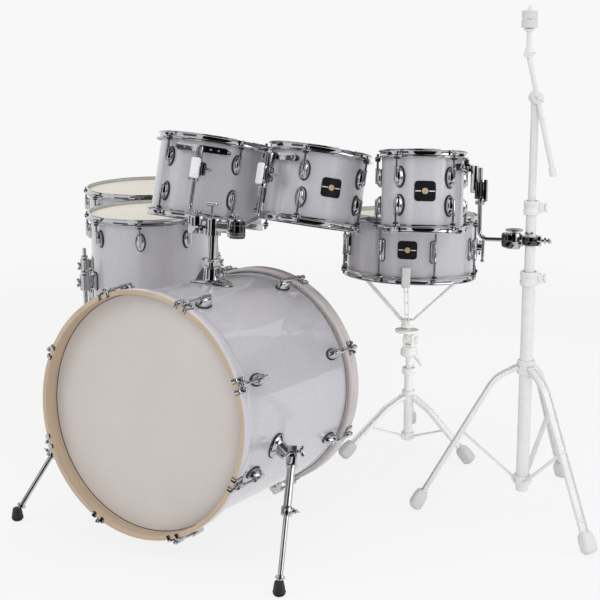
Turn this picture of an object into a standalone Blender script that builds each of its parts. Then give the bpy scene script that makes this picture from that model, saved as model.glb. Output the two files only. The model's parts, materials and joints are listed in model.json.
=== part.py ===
"""A seven-drum kit: bass drum, three rack toms, two floor toms and a snare, with the stands that carry them.

Metres, +Z up. The audience is at -Y, the player sits at +Y, and +X is the right-hand side seen from the
audience. Places are first given from the middle of the bass drum, and the kit is then moved so that the
origin is in the middle of the floor that it stands on. Every joint has an empty on its axis, with the
axis along the empty's own Z.
"""

import math
from collections import namedtuple

import bmesh
import bpy
from mathutils import Matrix, Vector

INCH = 0.0254
SEAT = 0.0003
WELD = 0.00001

# Drum shells: diameter and depth, wall, number of lugs, facets round the shell.
Drum = namedtuple("Drum", "name diameter depth wall lugs facets lug_angle")
BASS = Drum("bass", 22 * INCH, 18 * INCH, 0.008, 8, 32, 22.5)
TOM_12 = Drum("tom_12", 12 * INCH, 8 * INCH, 0.006, 5, 20, 0.0)
TOM_10 = Drum("tom_10", 10 * INCH, 7 * INCH, 0.006, 5, 20, 0.0)
TOM_8 = Drum("tom_8", 8 * INCH, 7 * INCH, 0.006, 5, 20, 0.0)
FLOOR_14 = Drum("floor_tom_14", 14 * INCH, 12 * INCH, 0.0065, 8, 24, 0.0)
FLOOR_16 = Drum("floor_tom_16", 16 * INCH, 14 * INCH, 0.0065, 8, 24, 0.0)
SNARE = Drum("snare", 14 * INCH, 6 * INCH, 0.006, 8, 24, 0.0)

# Where the drums stand, how far their playing faces lean (the x and y of the axis), and how far each
# is turned, in degrees, so that its first lug points there.
BASS_TILT = math.radians(5.2)
TOM_12_CENTRE = (-0.213, 0.344, 0.788)
TOM_12_LEAN = (0.028, 0.250)
TOM_12_TURN = -32.0
TOM_10_CENTRE = (0.122, 0.338, 0.797)
TOM_10_LEAN = (0.030, 0.244)
TOM_10_TURN = -3.0
TOM_8_CENTRE = (0.428, 0.340, 0.808)
TOM_8_LEAN = (-0.072, 0.174)
TOM_8_TURN = 46.0
FLOOR_14_PLACE = (-0.543, 0.490)
FLOOR_14_TOP = 0.661
FLOOR_16_PLACE = (-0.805, 0.825)
FLOOR_16_TOP = 0.671
FLOOR_TURN = -16.5
SNARE_CENTRE = (0.2555, 0.6417, 0.6076)
SNARE_LEAN = (-0.010, 0.080)
SNARE_TURN = 0.0

# Bearing edges, heads and flanged metal hoops.
BEARING_EDGE = 0.004
FILM = 0.001
FLESH_REACH = 0.0045
FLESH_WIDTH = 0.0033
FLESH_DEPTH = 0.009
COLLAR_WIDTH = 0.001
COLLAR_DROP = 0.0003
HOOP_RISE = 0.011
HOOP_WALL = 0.0028
HOOP_LIP = 0.0070
HOOP_WAIST = 0.0030
HOOP_FLANGE = 0.0090
HOOP_FLANGE_RISE = 0.0045

# Tension lugs and rods of the toms.
LUG_FROM_EDGE = 0.055
LUG_HALF_LENGTH = 0.0225
LUG_HALF_WIDTH = 0.013
LUG_STAND = 0.021
LUG_TAPER = 0.72
ROD_OFFSET = 0.0155
ROD_RADIUS = 0.0034
EAR_RADIUS = 0.0085
EAR_THICKNESS = 0.006

# Snare drum: tube lugs, strainer, butt and wires.
TUBE_LUG_HALF_LENGTH = 0.030
TUBE_LUG_RADIUS = 0.0055
TUBE_LUG_POST = 0.009
STRAINER_ANGLE = 22.5
STRAINER_SIZE = (0.014, 0.024, 0.050)
LEVER_LENGTH = 0.040
LEVER_PIVOT_DROP = 0.006
LEVER_THICKNESS = 0.006
LEVER_WIDTH = 0.016
BUTT_SIZE = (0.012, 0.024, 0.022)
WIRE_COUNT = 6
WIRE_BAND = 0.044
WIRE_LENGTH = 0.300
WIRE_PLATE = 0.016
WIRE_RADIUS = 0.0009

# Wooden hoops, claws and lugs of the bass drum.
WOOD_HOOP_WIDTH = 0.038
WOOD_HOOP_THICKNESS = 0.0135
CLAW_SIZE = (0.024, 0.026, 0.034)
CLAW_LIP = 0.003
BASS_ROD_OFFSET = 0.0075
BASS_ROD_RADIUS = 0.0042
BASS_LUG_STAND = 0.029
BASS_FLOOR_GAP = 0.0004

# Spurs of the bass drum.
SPUR_ANGLE = -12.4
SPUR_FORWARD = 0.100
SPUR_HINGE = (0.318, -0.108, 0.250)
SPUR_FOOT = (0.385, -0.277)
SPUR_TUBE_RADIUS = 0.0095
SPUR_TUBE_LENGTH = 0.135
SPUR_ROD_RADIUS = 0.0064
SPUR_ROD_INSIDE = 0.075
SPUR_KNUCKLE_RADIUS = 0.0150
SPUR_KNUCKLE_LENGTH = 0.020
SPUR_COLLAR_LIP = 0.004
SPUR_BASE_RADIUS = 0.021
SPUR_BASE_HEIGHT = 0.012
SPUR_COLLAR_RADIUS = 0.0135
SPUR_COLLAR_LENGTH = 0.018

# Rubber feet.
FOOT_RADIUS = 0.0150
FOOT_TOP_RADIUS = 0.0100
FOOT_HEIGHT = 0.032

# Tom mount on the bass drum: oval plate, socket, post and double holder.
MOUNT_BACK = 0.010
PLATE_LENGTH = 0.118
PLATE_WIDTH = 0.078
PLATE_THICKNESS = 0.006
SOCKET_RADIUS = 0.0215
SOCKET_HEIGHT = 0.040
SOCKET_FIN = (0.026, 0.012, 0.030)
PLATE_SAG = 0.014
POST_RADIUS = 0.0127
POST_HEIGHT = 0.150
POST_INSIDE = 0.110
HOLDER_RADIUS = 0.0195
HOLDER_HEIGHT = 0.044
HOLDER_LAP = 0.034
HOLDER_LEFT = -0.044
HOLDER_RIGHT = 0.064
HOLDER_BAR = (0.020, 0.026)
HANDLE_HALF_LENGTH = 0.022
HANDLE_RADIUS = 0.0035
HANDLE_RISE = 0.016

# L-shaped tom arms and the brackets that hang each tom from two tension rods.
ARM_RADIUS = 0.00525
ARM_BORE = 0.0058
ARM_BEND = 0.020
ARM_STUB = 0.016
ARM_ABOVE = 0.034
JOINT_SOCKET_RADIUS = 0.0185
JOINT_SOCKET_LENGTH = 0.040
BRACKET_OFFSET = 0.044
BRACKET_BLOCK = (0.024, 0.028, 0.044)
BAR_HEIGHT = 0.014
BAR_THICKNESS = 0.004
BAR_RISE = 0.028
BAR_STEPS = 6
WING = (0.012, 0.0035, 0.011)
TOM_12_BRACKET_RISE = 0.020
TOM_12_ELBOW_DROP = 0.106
TOM_10_BRACKET_RISE = 0.010
TOM_10_ELBOW_DROP = 0.112
TOM_8_BRACKET_RISE = 0.006
TOM_8_ELBOW_DROP = 0.118

# Floor tom legs and their brackets.
LEG_ANGLES = (-105.0, 30.0, 165.0)
LEG_RADIUS = 0.0060
LEG_BORE = 0.0066
LEG_OFFSET = 0.034
LEG_BLOCK = (0.036, 0.032, 0.050)
LEG_BLOCK_RISE = 0.115
LEG_ABOVE = 0.035
LEG_BLOCK_BACK = 0.002
LEG_KNEE = 0.110
LEG_SPLAY = 0.030

# Stand for the cymbal and the smallest tom.
STAND_PLACE = (0.695, 0.390)
STAND_FOOT_REACH = 0.265
STAND_FOOT_ANGLES = (-154.0, -34.0, 86.0)
STAND_HUB_Z = 0.385
TUBE_FACETS = 10
STAND_LOW_Z = 0.090
STAND_BASE_RADIUS = 0.0160
STAND_BASE_BORE = 0.0133
STAND_BASE_BOTTOM = 0.060
STAND_BASE_TOP = 0.610
STAND_MIDDLE_RADIUS = 0.0127
STAND_MIDDLE_BORE = 0.0100
STAND_MIDDLE_BOTTOM = 0.430
STAND_MIDDLE_TOP = 0.785
STAND_TOP_RADIUS = 0.0095
STAND_TOP_BOTTOM = 0.640
STAND_TILTER_Z = 1.050
STAND_COLLAR_HEIGHT = 0.034
COLLAR_STAND = 0.0065
TRIPOD_STRAP = (0.020, 0.0080)
BRACE_STRAP = (0.014, 0.0060)
BRACE_AT = 0.52
BOOM_RADIUS = 0.0062
BOOM_LEAN = (-0.200, -0.140)
BOOM_TAIL = 0.190
BOOM_REACH = 0.105
TILTER_RADIUS = 0.0150
TILTER_LENGTH = 0.016
TILTER_CHEEK = 0.007
TILTER_NECK = 0.012
TILTER_NECK_RADIUS = 0.010
BOOM_OFFSET = 0.0185
SEAT_RISE = 0.112
SEAT_RADIUS = 0.019
SEAT_PLATE = 0.006
SEAT_PLATE_Z = 0.060
SEAT_FOOT = 0.010
SEAT_FOOT_RADIUS = 0.0095

# Clamp that carries the smallest tom on the stand.
CLAMP_RING_RADIUS = 0.0215
CLAMP_RING_HEIGHT = 0.030
CLAMP_NECK = 0.020
CLAMP_BOLT_REACH = 0.046

# Snare stand.
SNARE_STAND_FOOT_REACH = 0.200
SNARE_STAND_FOOT_ANGLES = (-127.0, -7.0, 113.0)
SNARE_STAND_HUB_Z = 0.160
SNARE_STAND_LOW_Z = 0.040
SNARE_STAND_BASE_BOTTOM = 0.028
SNARE_STAND_BASE_TOP = 0.236
SNARE_STAND_BASE_RADIUS = 0.0127
SNARE_STAND_BASE_BORE = 0.0100
SNARE_STAND_TUBE_RADIUS = 0.0095
SNARE_STAND_TUBE_BOTTOM = 0.120
SNARE_STAND_TILTER_Z = 0.330
SNARE_STAND_NUT_Z = 0.380
BASKET_ANGLES = (-67.5, 52.5, 172.5)
BASKET_ARM_WIDTH = 0.014
BASKET_ARM_THICKNESS = 0.006
BASKET_PAD_HEIGHT = 0.026
BASKET_PAD_THICKNESS = 0.009
BASKET_PAD_WIDTH = 0.020
BASKET_STEM_RADIUS = 0.0070
BASKET_PAD_FLOOR = 0.006
BASKET_SHELF = 0.016
BASKET_SHELF_DROP = 0.004
BASKET_DIP = 0.016
HUB_RADIUS = 0.018
HUB_HALF = 0.012

COLOURS = {
    "silver_wrap": ((0.49, 0.48, 0.51), 0.25, 0.3),
    "head_coated": ((0.80, 0.77, 0.70), 0.6, 0.0),
    "head_clear": ((0.58, 0.55, 0.53), 0.5, 0.0),
    "maple": ((0.56, 0.38, 0.23), 0.4, 0.0),
    "pale_hoop": ((0.62, 0.58, 0.53), 0.4, 0.0),
    "chrome": ((0.72, 0.72, 0.73), 0.12, 1.0),
    "stand_metal": ((0.74, 0.75, 0.76), 0.35, 0.6),
}


def clear_scene():
    for obj in list(bpy.data.objects):
        bpy.data.objects.remove(obj, do_unlink=True)


def new_collection(name):
    collection = bpy.data.collections.new(name)
    bpy.context.scene.collection.children.link(collection)
    return collection


clear_scene()
PARTS = new_collection("drum_kit")
CUTTERS = new_collection("drum_kit_cutters")


def material(kind, name):
    """A new Principled material of one kind for one object."""
    colour, roughness, metallic = COLOURS[kind]
    made = bpy.data.materials.new(name + "_" + kind)
    made.use_nodes = True
    shader = made.node_tree.nodes["Principled BSDF"]
    shader.inputs["Base Color"].default_value = (*colour, 1.0)
    shader.inputs["Roughness"].default_value = roughness
    shader.inputs["Metallic"].default_value = metallic
    return made


def empty(name, matrix, parent):
    """An empty at a place given in its parent's frame."""
    obj = bpy.data.objects.new(name, None)
    obj.empty_display_size = 0.05
    PARTS.objects.link(obj)
    obj.parent = parent
    obj.matrix_basis = matrix
    return obj


def finish(obj, parent, kind, matrix):
    """Names the material, shades the piece and hangs it on its parent. A piece of no kind is a helper."""
    obj.parent = parent
    obj.matrix_basis = matrix
    if kind is None:
        CUTTERS.objects.link(obj)
        obj.hide_render = True
        obj.display_type = "WIRE"
        return obj
    PARTS.objects.link(obj)
    obj.data.materials.append(material(kind, obj.name))
    if obj.type == "MESH" and obj.data.polygons:
        obj.data.shade_smooth()
        obj.data.set_sharp_from_angle(angle=math.radians(40))
    return obj


def solid(name, bm, parent, kind=None, matrix=Matrix()):
    """An object from the closed bodies gathered in a bmesh."""
    bmesh.ops.remove_doubles(bm, verts=bm.verts, dist=WELD)
    bmesh.ops.recalc_face_normals(bm, faces=bm.faces)
    mesh = bpy.data.meshes.new(name)
    bm.to_mesh(mesh)
    bm.free()
    return finish(bpy.data.objects.new(name, mesh), parent, kind, matrix)


def ring(name, profile, facets, parent, kind=None, matrix=Matrix()):
    """A profile turned round Z with a Screw. It runs down its outer side, and closes unless it ends on Z."""
    mesh = bpy.data.meshes.new(name)
    on_axis = profile[0][0] == 0 and profile[-1][0] == 0
    edges = [(i, i + 1) for i in range(len(profile) - 1)]
    if not on_axis:
        edges.append((len(profile) - 1, 0))
    mesh.from_pydata([(r, 0, z) for r, z in profile], edges, [])
    obj = finish(bpy.data.objects.new(name, mesh), parent, kind, matrix)
    screw = obj.modifiers.new("turn", "SCREW")
    screw.steps = facets
    screw.render_steps = facets
    screw.use_merge_vertices = True
    screw.merge_threshold = WELD
    return obj


def boolean(obj, helper, operation):
    modifier = obj.modifiers.new(helper.name, "BOOLEAN")
    modifier.operation = operation
    modifier.object = helper
    modifier.use_self = operation == "UNION"


def fuse(obj, *helpers):
    for helper in helpers:
        boolean(obj, helper, "UNION")


def cut(obj, *helpers):
    for helper in helpers:
        boolean(obj, helper, "DIFFERENCE")


def axes(origin, z, x=(1, 0, 0)):
    """A frame with its Z along z and its X as near x as it can be."""
    z = Vector(z).normalized()
    x = Vector(x)
    x = (x - z * x.dot(z)).normalized()
    y = z.cross(x)
    matrix = Matrix((x, y, z)).transposed().to_4x4()
    matrix.translation = Vector(origin)
    return matrix


def turn(degrees):
    return Matrix.Rotation(math.radians(degrees), 4, "Z")


def polar(radius, degrees, z=0.0):
    angle = math.radians(degrees)
    return Vector((radius * math.cos(angle), radius * math.sin(angle), z))


def add_box(bm, size, matrix):
    bmesh.ops.create_cube(bm, size=1, matrix=matrix @ Matrix.Diagonal((*size, 1)))


def add_rod(bm, start, end, radius, sides=8, end_radius=None, x=(1, 0, 0)):
    """A cylinder or cone between two points, with a corner of its outline towards x."""
    start, end = Vector(start), Vector(end)
    along = end - start
    if abs(along.normalized().dot(Vector(x).normalized())) > 0.99:
        x = (0, 1, 0)
    bmesh.ops.create_cone(
        bm,
        cap_ends=True,
        segments=sides,
        radius1=radius,
        radius2=radius if end_radius is None else end_radius,
        depth=along.length,
        matrix=axes((start + end) / 2, along, x),
    )


def add_turned(bm, profile, sides, matrix):
    """A closed body turned round the matrix's Z, from a profile that starts and ends on it."""
    verts = [bm.verts.new(matrix @ Vector((r, 0, z))) for r, z in profile]
    edges = [bm.edges.new(pair) for pair in zip(verts, verts[1:])]
    bmesh.ops.spin(
        bm,
        geom=verts + edges,
        cent=matrix.translation,
        axis=matrix.to_3x3() @ Vector((0, 0, 1)),
        angle=2 * math.pi,
        steps=sides,
        use_merge=True,
    )


def add_strap(bm, start, end, width, thickness, across):
    """A flat bar between two points, its width along across."""
    start, end = Vector(start), Vector(end)
    place = axes((start + end) / 2, end - start, across)
    add_box(bm, (width, thickness, (end - start).length), place)


def add_wing(bm, place, half_length, radius, rise):
    """A wing or T screw: a stem along the place's Z and a bar across its end, along X."""
    foot = -0.4 * rise
    add_turned(bm, [(0, rise), (radius, rise), (radius, foot), (0, foot)], 6, place)
    add_box(bm, (2 * half_length, 1.6 * radius, 2.4 * radius), place @ Matrix.Translation((0, 0, rise)))


def rounded(points, radius, steps=3):
    """A path through the points with each inner corner replaced by an arc."""
    points = [Vector(point) for point in points]
    path = [points[0]]
    for before, corner, after in zip(points, points[1:], points[2:]):
        back, on = (before - corner).normalized(), (after - corner).normalized()
        half = back.angle(on) / 2
        reach = radius / math.tan(half)
        centre = corner + (back + on).normalized() * radius / math.sin(half)
        first, last = corner + back * reach - centre, corner + on * reach - centre
        sweep = first.angle(last)
        for step in range(steps + 1):
            share = step / steps
            arc = first * math.sin((1 - share) * sweep) + last * math.sin(share * sweep)
            path.append(centre + arc / math.sin(sweep))
    path.append(points[-1])
    return path


def tube(name, path, radius, parent, kind, roundness=2):
    """A round rod along a path, as a curve with a bevel and filled caps."""
    curve = bpy.data.curves.new(name, "CURVE")
    curve.dimensions = "3D"
    curve.bevel_depth = radius
    curve.bevel_resolution = roundness
    curve.use_fill_caps = True
    spline = curve.splines.new("POLY")
    spline.points.add(len(path) - 1)
    for point, place in zip(spline.points, path):
        point.co = (*place, 1)
    return finish(bpy.data.objects.new(name, curve), parent, kind, Matrix())


def tube_mesh(name, path, radius, parent, kind=None, roundness=2):
    """The same rod as a mesh, so that it can be cut or joined."""
    curve = tube(name + "_path", path, radius, parent, None, roundness)
    bpy.context.view_layer.update()
    evaluated = curve.evaluated_get(bpy.context.evaluated_depsgraph_get())
    mesh = bpy.data.meshes.new_from_object(evaluated)
    mesh.name = name
    bm = bmesh.new()
    bm.from_mesh(mesh)
    bpy.data.objects.remove(curve, do_unlink=True)
    return solid(name, bm, parent, kind)


FLIP = Matrix.Rotation(math.pi, 4, "X")


def film_top(drum):
    return drum.depth / 2 + SEAT + FILM


def hoop_seat(drum):
    """Where a hoop bears on the collar of its head."""
    return film_top(drum) - COLLAR_DROP / 2 + SEAT


def half_height(drum):
    """From the middle of a metal-hooped drum to the top of its hoop."""
    return hoop_seat(drum) + HOOP_RISE


def lug_angles(drum):
    return [drum.lug_angle + 360 * i / drum.lugs for i in range(drum.lugs)]


def shell(drum, name, parent, place, kind="silver_wrap"):
    """A plywood tube with a bearing edge cut at 45 degrees on both ends."""
    radius, half = drum.diameter / 2, drum.depth / 2
    inner, edge = radius - drum.wall, BEARING_EDGE
    slope = drum.wall - edge
    profile = [
        (radius, half - edge),
        (radius, edge - half),
        (radius - edge, -half),
        (inner, slope - half),
        (inner, half - slope),
        (radius - edge, half),
    ]
    return drum_ring(drum, name, profile, parent, kind, place)


def head_profile(drum):
    """Film and collar with its flesh hoop, which hangs outside the bearing edge."""
    radius = drum.diameter / 2
    outer = radius + FLESH_REACH
    top, under = film_top(drum), film_top(drum) - FILM
    low = top - FLESH_DEPTH
    inner = outer - FLESH_WIDTH
    return [
        (0, top),
        (radius - COLLAR_WIDTH, top),
        (outer, top - COLLAR_DROP),
        (outer, low),
        (inner, under),
        (0, under),
    ]


def drum_ring(drum, name, profile, parent, kind, place):
    """A turned piece of a drum. Its corners lie half way between its lugs' angles, so lugs sit on flats."""
    return ring(name, profile, drum.facets, parent, kind, place @ turn(180 / drum.facets))


def head(drum, name, parent, place, kind):
    return drum_ring(drum, name, head_profile(drum), parent, kind, place)


def hoop_profile(drum):
    """A flanged steel hoop: lip, waist and ear flange outside, and a shoulder that bears on the head."""
    flesh = drum.diameter / 2 + FLESH_REACH
    wall = flesh - FLESH_WIDTH / 2
    low, shoulder = film_top(drum) - FLESH_DEPTH, hoop_seat(drum)
    top = half_height(drum)
    return [
        (wall + HOOP_LIP, top),
        (flesh + HOOP_WAIST, low + HOOP_FLANGE_RISE),
        (flesh + HOOP_FLANGE, low),
        (flesh + SEAT, low),
        (flesh + SEAT, shoulder),
        (wall, shoulder),
        (wall, top),
    ]


def rods(drum, name, parent, place, angles, rod_end):
    """Tension rods with the ears that they pull on, all in one helper."""
    low = film_top(drum) - FLESH_DEPTH
    ear = low + EAR_THICKNESS
    thin = low - EAR_THICKNESS / 2
    profile = [(0, ear), (EAR_RADIUS, ear), (ROD_RADIUS, thin), (ROD_RADIUS, rod_end), (0, rod_end)]
    bm = bmesh.new()
    for angle in angles:
        spot = Matrix.Translation(polar(drum.diameter / 2 + ROD_OFFSET, angle)) @ turn(angle)
        add_turned(bm, profile, 4, spot)
    return solid(name, bm, parent, None, place)


def lower_hoop_profile(drum):
    """The hoop of the lower head with that head in it, from the film's middle out and back."""
    lip, waist, flange, _, _, _, wall = hoop_profile(drum)
    outside, inside = film_top(drum), film_top(drum) - FILM
    flesh = drum.diameter / 2 + FLESH_REACH - FLESH_WIDTH
    return [(0, outside), (wall[0], outside), wall, lip, waist, flange, (flesh, inside), (0, inside)]


def metal_hoop(drum, name, parent, place, flipped, rod_end):
    """A hoop with its tension rods, on the playing side or flipped to the other side."""
    if flipped:
        place = place @ FLIP
    angles = [-angle if flipped else angle for angle in lug_angles(drum)]
    profile = lower_hoop_profile(drum) if flipped else hoop_profile(drum)
    hoop = drum_ring(drum, name, profile, parent, "chrome", place)
    fuse(hoop, rods(drum, name + "_rods", parent, place, angles, rod_end))
    return hoop


def tapered_lugs(drum, name, parent, place, stand):
    """Separate lugs for the two heads, each an oval block that narrows away from the shell."""
    radius = drum.diameter / 2
    root = radius - drum.wall * 0.6
    bm = bmesh.new()
    for angle in lug_angles(drum):
        for side in (1, -1):
            z = side * (drum.depth / 2 - LUG_FROM_EDGE)
            foot = polar(root, angle, z)
            along = axes(foot, polar(1, angle), (0, 0, 1))
            oval = Matrix.Diagonal((LUG_HALF_LENGTH, LUG_HALF_WIDTH, 1, 1))
            height = radius + stand - root
            middle = Matrix.Translation((0, 0, height / 2))
            bmesh.ops.create_cone(
                bm,
                cap_ends=True,
                segments=6,
                radius1=1,
                radius2=LUG_TAPER,
                depth=height,
                matrix=along @ middle @ oval,
            )
    return solid(name, bm, parent, None, place)


def lug_rod_end(drum):
    """Where a tension rod stops, just above the lug's end."""
    taper = 1 - (1 - LUG_TAPER) * (ROD_OFFSET / LUG_STAND)
    return drum.depth / 2 - LUG_FROM_EDGE + LUG_HALF_LENGTH * max(taper, LUG_TAPER) + 4 * SEAT


def heads_and_hoops(drum, parent, place, rod_end):
    """Both heads and both hoops of a drum. The lower head stays with the hoop that holds it."""
    head(drum, drum.name + "_batter_head", parent, place, "head_coated")
    metal_hoop(drum, drum.name + "_batter_hoop", parent, place, False, rod_end)
    metal_hoop(drum, drum.name + "_resonant_hoop", parent, place, True, rod_end)


def build_tom(drum, parent, place, bracket_angle, bracket_rise):
    body = shell(drum, drum.name + "_shell", parent, place)
    fuse(body, tapered_lugs(drum, drum.name + "_lugs", parent, place, LUG_STAND))
    heads_and_hoops(drum, parent, place, lug_rod_end(drum))
    tom_bracket(drum, parent, place, bracket_angle, bracket_rise)


def tom_bracket(drum, parent, place, angle, rise):
    """A curved bar that hangs on two tension rods, with a clamp block for the arm in its middle."""
    name = drum.name + "_bracket"
    bar_inner = drum.diameter / 2 + ROD_OFFSET + ROD_RADIUS + 2 * SEAT
    bar_z = drum.depth / 2 - BAR_RISE
    half = 180 / drum.lugs
    bm = bmesh.new()
    bar_outer = bar_inner + BAR_THICKNESS
    corners = [
        bm.verts.new(polar(radius, angle - half, bar_z + side * BAR_HEIGHT / 2))
        for radius, side in ((bar_inner, -1), (bar_outer, -1), (bar_outer, 1), (bar_inner, 1))
    ]
    bmesh.ops.spin(
        bm,
        geom=[bm.faces.new(corners)],
        cent=(0, 0, 0),
        axis=(0, 0, 1),
        angle=math.radians(2 * half),
        steps=BAR_STEPS,
    )
    bar = solid(name, bm, parent, "chrome", place)
    block_x = drum.diameter / 2 + BRACKET_OFFSET
    web_start = bar_inner + BAR_THICKNESS / 2
    web_end = block_x - BRACKET_BLOCK[0] / 4
    bm = bmesh.new()
    add_box(bm, BRACKET_BLOCK, turn(angle) @ Matrix.Translation((block_x, 0, rise)))
    fuse(bar, solid(name + "_block", bm, parent, None, place))
    bm = bmesh.new()
    web_size = (web_end - web_start, BRACKET_BLOCK[1] * 0.6, bar_z - rise + BAR_HEIGHT * 0.8)
    web_middle = Matrix.Translation(((web_start + web_end) / 2, 0, (bar_z + rise) / 2))
    add_box(bm, web_size, turn(angle) @ web_middle)
    fuse(bar, solid(name + "_web", bm, parent, None, place))
    bm = bmesh.new()
    bore = polar(block_x, angle, rise)
    past = Vector((0, 0, BRACKET_BLOCK[2]))
    add_rod(bm, bore - past, bore + past, ARM_BORE)
    cut(bar, solid(name + "_bore", bm, parent, None, place))
    bm = bmesh.new()
    wing = polar(block_x + BRACKET_BLOCK[0] / 2, angle, rise)
    add_wing(bm, axes(wing, polar(1, angle), (0, 0, 1)), *WING)
    fuse(bar, solid(name + "_wing", bm, parent, None, place))


def lean_frame(centre, lean, degrees):
    """The frame of a drum whose axis leans: its Z is the axis, and its X points at the first lug."""
    upright = math.sqrt(1 - lean[0] ** 2 - lean[1] ** 2)
    return axes(centre, (lean[0], lean[1], upright)) @ turn(degrees)


def build_bass(kit):
    """The bass drum lies on its side; its own Z points at the audience."""
    reach = hoop_seat(BASS) + WOOD_HOOP_WIDTH
    outer = (BASS.diameter / 2 + WOOD_HOOP_THICKNESS) * math.cos(math.pi / BASS.facets)
    height = BASS_FLOOR_GAP + math.sin(BASS_TILT) * reach + math.cos(BASS_TILT) * outer
    frame = Matrix.Translation((0, 0, height)) @ Matrix.Rotation(math.pi / 2 - BASS_TILT, 4, "X")
    bass = empty("bass", frame, kit)
    body = shell(BASS, "bass_shell", bass, Matrix())
    fuse(body, tapered_lugs(BASS, "bass_lugs", bass, Matrix(), BASS_LUG_STAND))
    head(BASS, "bass_front_head", bass, Matrix(), "head_clear")
    head(BASS, "bass_batter_head", bass, FLIP, "head_coated")
    wooden_hoop("bass_front_hoop", bass, Matrix(), "maple")
    wooden_hoop("bass_batter_hoop", bass, FLIP, "pale_hoop")
    tom_mount(bass, body)
    for side, name in ((-1, "left"), (1, "right")):
        spur(kit, bass, body, side, name)
    return bass


def wooden_hoop(name, bass, place, kind):
    """A maple hoop on the edge of the head, with the claws and rods that pull it back."""
    back = hoop_seat(BASS)
    inner, outer = BASS.diameter / 2 + SEAT, BASS.diameter / 2 + WOOD_HOOP_THICKNESS
    front = back + WOOD_HOOP_WIDTH
    profile = [(outer, front), (outer, back), (inner, back), (inner, front)]
    hoop = drum_ring(BASS, name, profile, bass, kind, place)
    lug_end = BASS.depth / 2 - LUG_FROM_EDGE + LUG_HALF_LENGTH
    claws, pulls = bmesh.new(), bmesh.new()
    for angle in lug_angles(BASS):
        spot = turn(angle) @ Matrix.Translation((outer, 0, front + CLAW_LIP - CLAW_SIZE[2] / 2))
        add_box(claws, CLAW_SIZE, spot)
        rod_x = outer + BASS_ROD_OFFSET
        start = turn(angle) @ Vector((rod_x, 0, front))
        end = turn(angle) @ Vector((rod_x, 0, lug_end + SEAT))
        add_rod(pulls, start, end, BASS_ROD_RADIUS, 4, x=polar(1, angle))
    fuse(hoop, solid(name + "_claws", claws, bass, None, place))
    fuse(hoop, solid(name + "_rods", pulls, bass, None, place))
    return hoop


def spur(kit, bass, body, side, name):
    """A folding spur: a bracket on the shell, a tube that turns on it, and a rod with a rubber foot."""
    hinge = Vector((side * SPUR_HINGE[0], SPUR_HINGE[1], SPUR_HINGE[2]))
    foot = Vector((side * SPUR_FOOT[0], SPUR_FOOT[1], FOOT_HEIGHT * 0.6))
    down = (foot - hinge).normalized()
    outward = Vector((side * math.cos(math.radians(SPUR_ANGLE)), 0, math.sin(math.radians(SPUR_ANGLE))))
    pin = (outward - down * outward.dot(down)).normalized()
    fold = empty("spur_" + name + "_fold", axes(hinge, pin, down), kit)
    to_fold = fold.matrix_basis.inverted()

    bm = bmesh.new()
    angle = SPUR_ANGLE if side > 0 else 180 - SPUR_ANGLE
    spot = polar(BASS.diameter / 2 - BASS.wall * 0.6, angle, SPUR_FORWARD)
    top = polar(BASS.diameter / 2 + SPUR_BASE_HEIGHT, angle, SPUR_FORWARD)
    add_rod(bm, spot, top, SPUR_BASE_RADIUS, 12)
    fuse(body, solid("spur_" + name + "_base", bm, bass))
    bm = bmesh.new()
    to_bass = bass.matrix_basis.inverted()
    boss_start = polar(BASS.diameter / 2 - BASS.wall * 0.3, angle, SPUR_FORWARD)
    add_rod(bm, boss_start, to_bass @ hinge, SPUR_KNUCKLE_RADIUS, 10)
    fuse(body, solid("spur_" + name + "_boss", bm, bass))
    bm = bmesh.new()
    face = hinge - pin * (SPUR_KNUCKLE_LENGTH / 2 + SEAT)
    add_rod(bm, to_bass @ face, to_bass @ (hinge + pin * SPUR_TUBE_LENGTH), 2 * SPUR_KNUCKLE_RADIUS, 10)
    cut(body, solid("spur_" + name + "_clearance", bm, bass))

    bm = bmesh.new()
    half = Vector((0, 0, SPUR_KNUCKLE_LENGTH / 2))
    add_rod(bm, -half, half, SPUR_KNUCKLE_RADIUS, 10)
    leg = solid("spur_" + name + "_tube", bm, fold, "chrome")
    bm = bmesh.new()
    add_rod(bm, (0, 0, 0), (SPUR_TUBE_LENGTH, 0, 0), SPUR_TUBE_RADIUS, 8)
    fuse(leg, solid(leg.name + "_pipe", bm, fold))
    bm = bmesh.new()
    collar_start = (SPUR_TUBE_LENGTH - SPUR_COLLAR_LENGTH, 0, 0)
    add_rod(bm, collar_start, (SPUR_TUBE_LENGTH + SPUR_COLLAR_LIP, 0, 0), SPUR_COLLAR_RADIUS, 8)
    fuse(leg, solid(leg.name + "_collar", bm, fold))
    bm = bmesh.new()
    past = (SPUR_TUBE_LENGTH + SPUR_COLLAR_LENGTH, 0, 0)
    add_rod(bm, (SPUR_KNUCKLE_RADIUS + SPUR_COLLAR_LIP, 0, 0), past, SPUR_ROD_RADIUS + SEAT, 8)
    cut(leg, solid(leg.name + "_bore", bm, fold))
    bm = bmesh.new()
    add_wing(bm, Matrix.Translation(half), *WING)
    fuse(leg, solid(leg.name + "_wing", bm, fold))

    slide = empty("spur_" + name + "_slide", to_fold @ axes(foot, -down, pin), fold)
    length = (foot - hinge).length
    bm = bmesh.new()
    add_rod(bm, (0, 0, 0), (0, 0, length - SPUR_ROD_INSIDE), SPUR_ROD_RADIUS, 8)
    rod = solid("spur_" + name + "_rod", bm, slide, "chrome")
    fuse(rod, rubber_foot(rod.name + "_foot", slide, foot))


def rubber_foot(name, parent, over):
    """A helper for a rubber foot that stands upright on the floor below a point of the kit."""
    to_parent = frame_in_kit(parent).inverted()
    bottom = Vector((over.x, over.y, 0))
    top = bottom + Vector((0, 0, FOOT_HEIGHT))
    bm = bmesh.new()
    add_rod(bm, to_parent @ bottom, to_parent @ top, FOOT_RADIUS, 8, FOOT_TOP_RADIUS)
    return solid(name, bm, parent)


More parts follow.
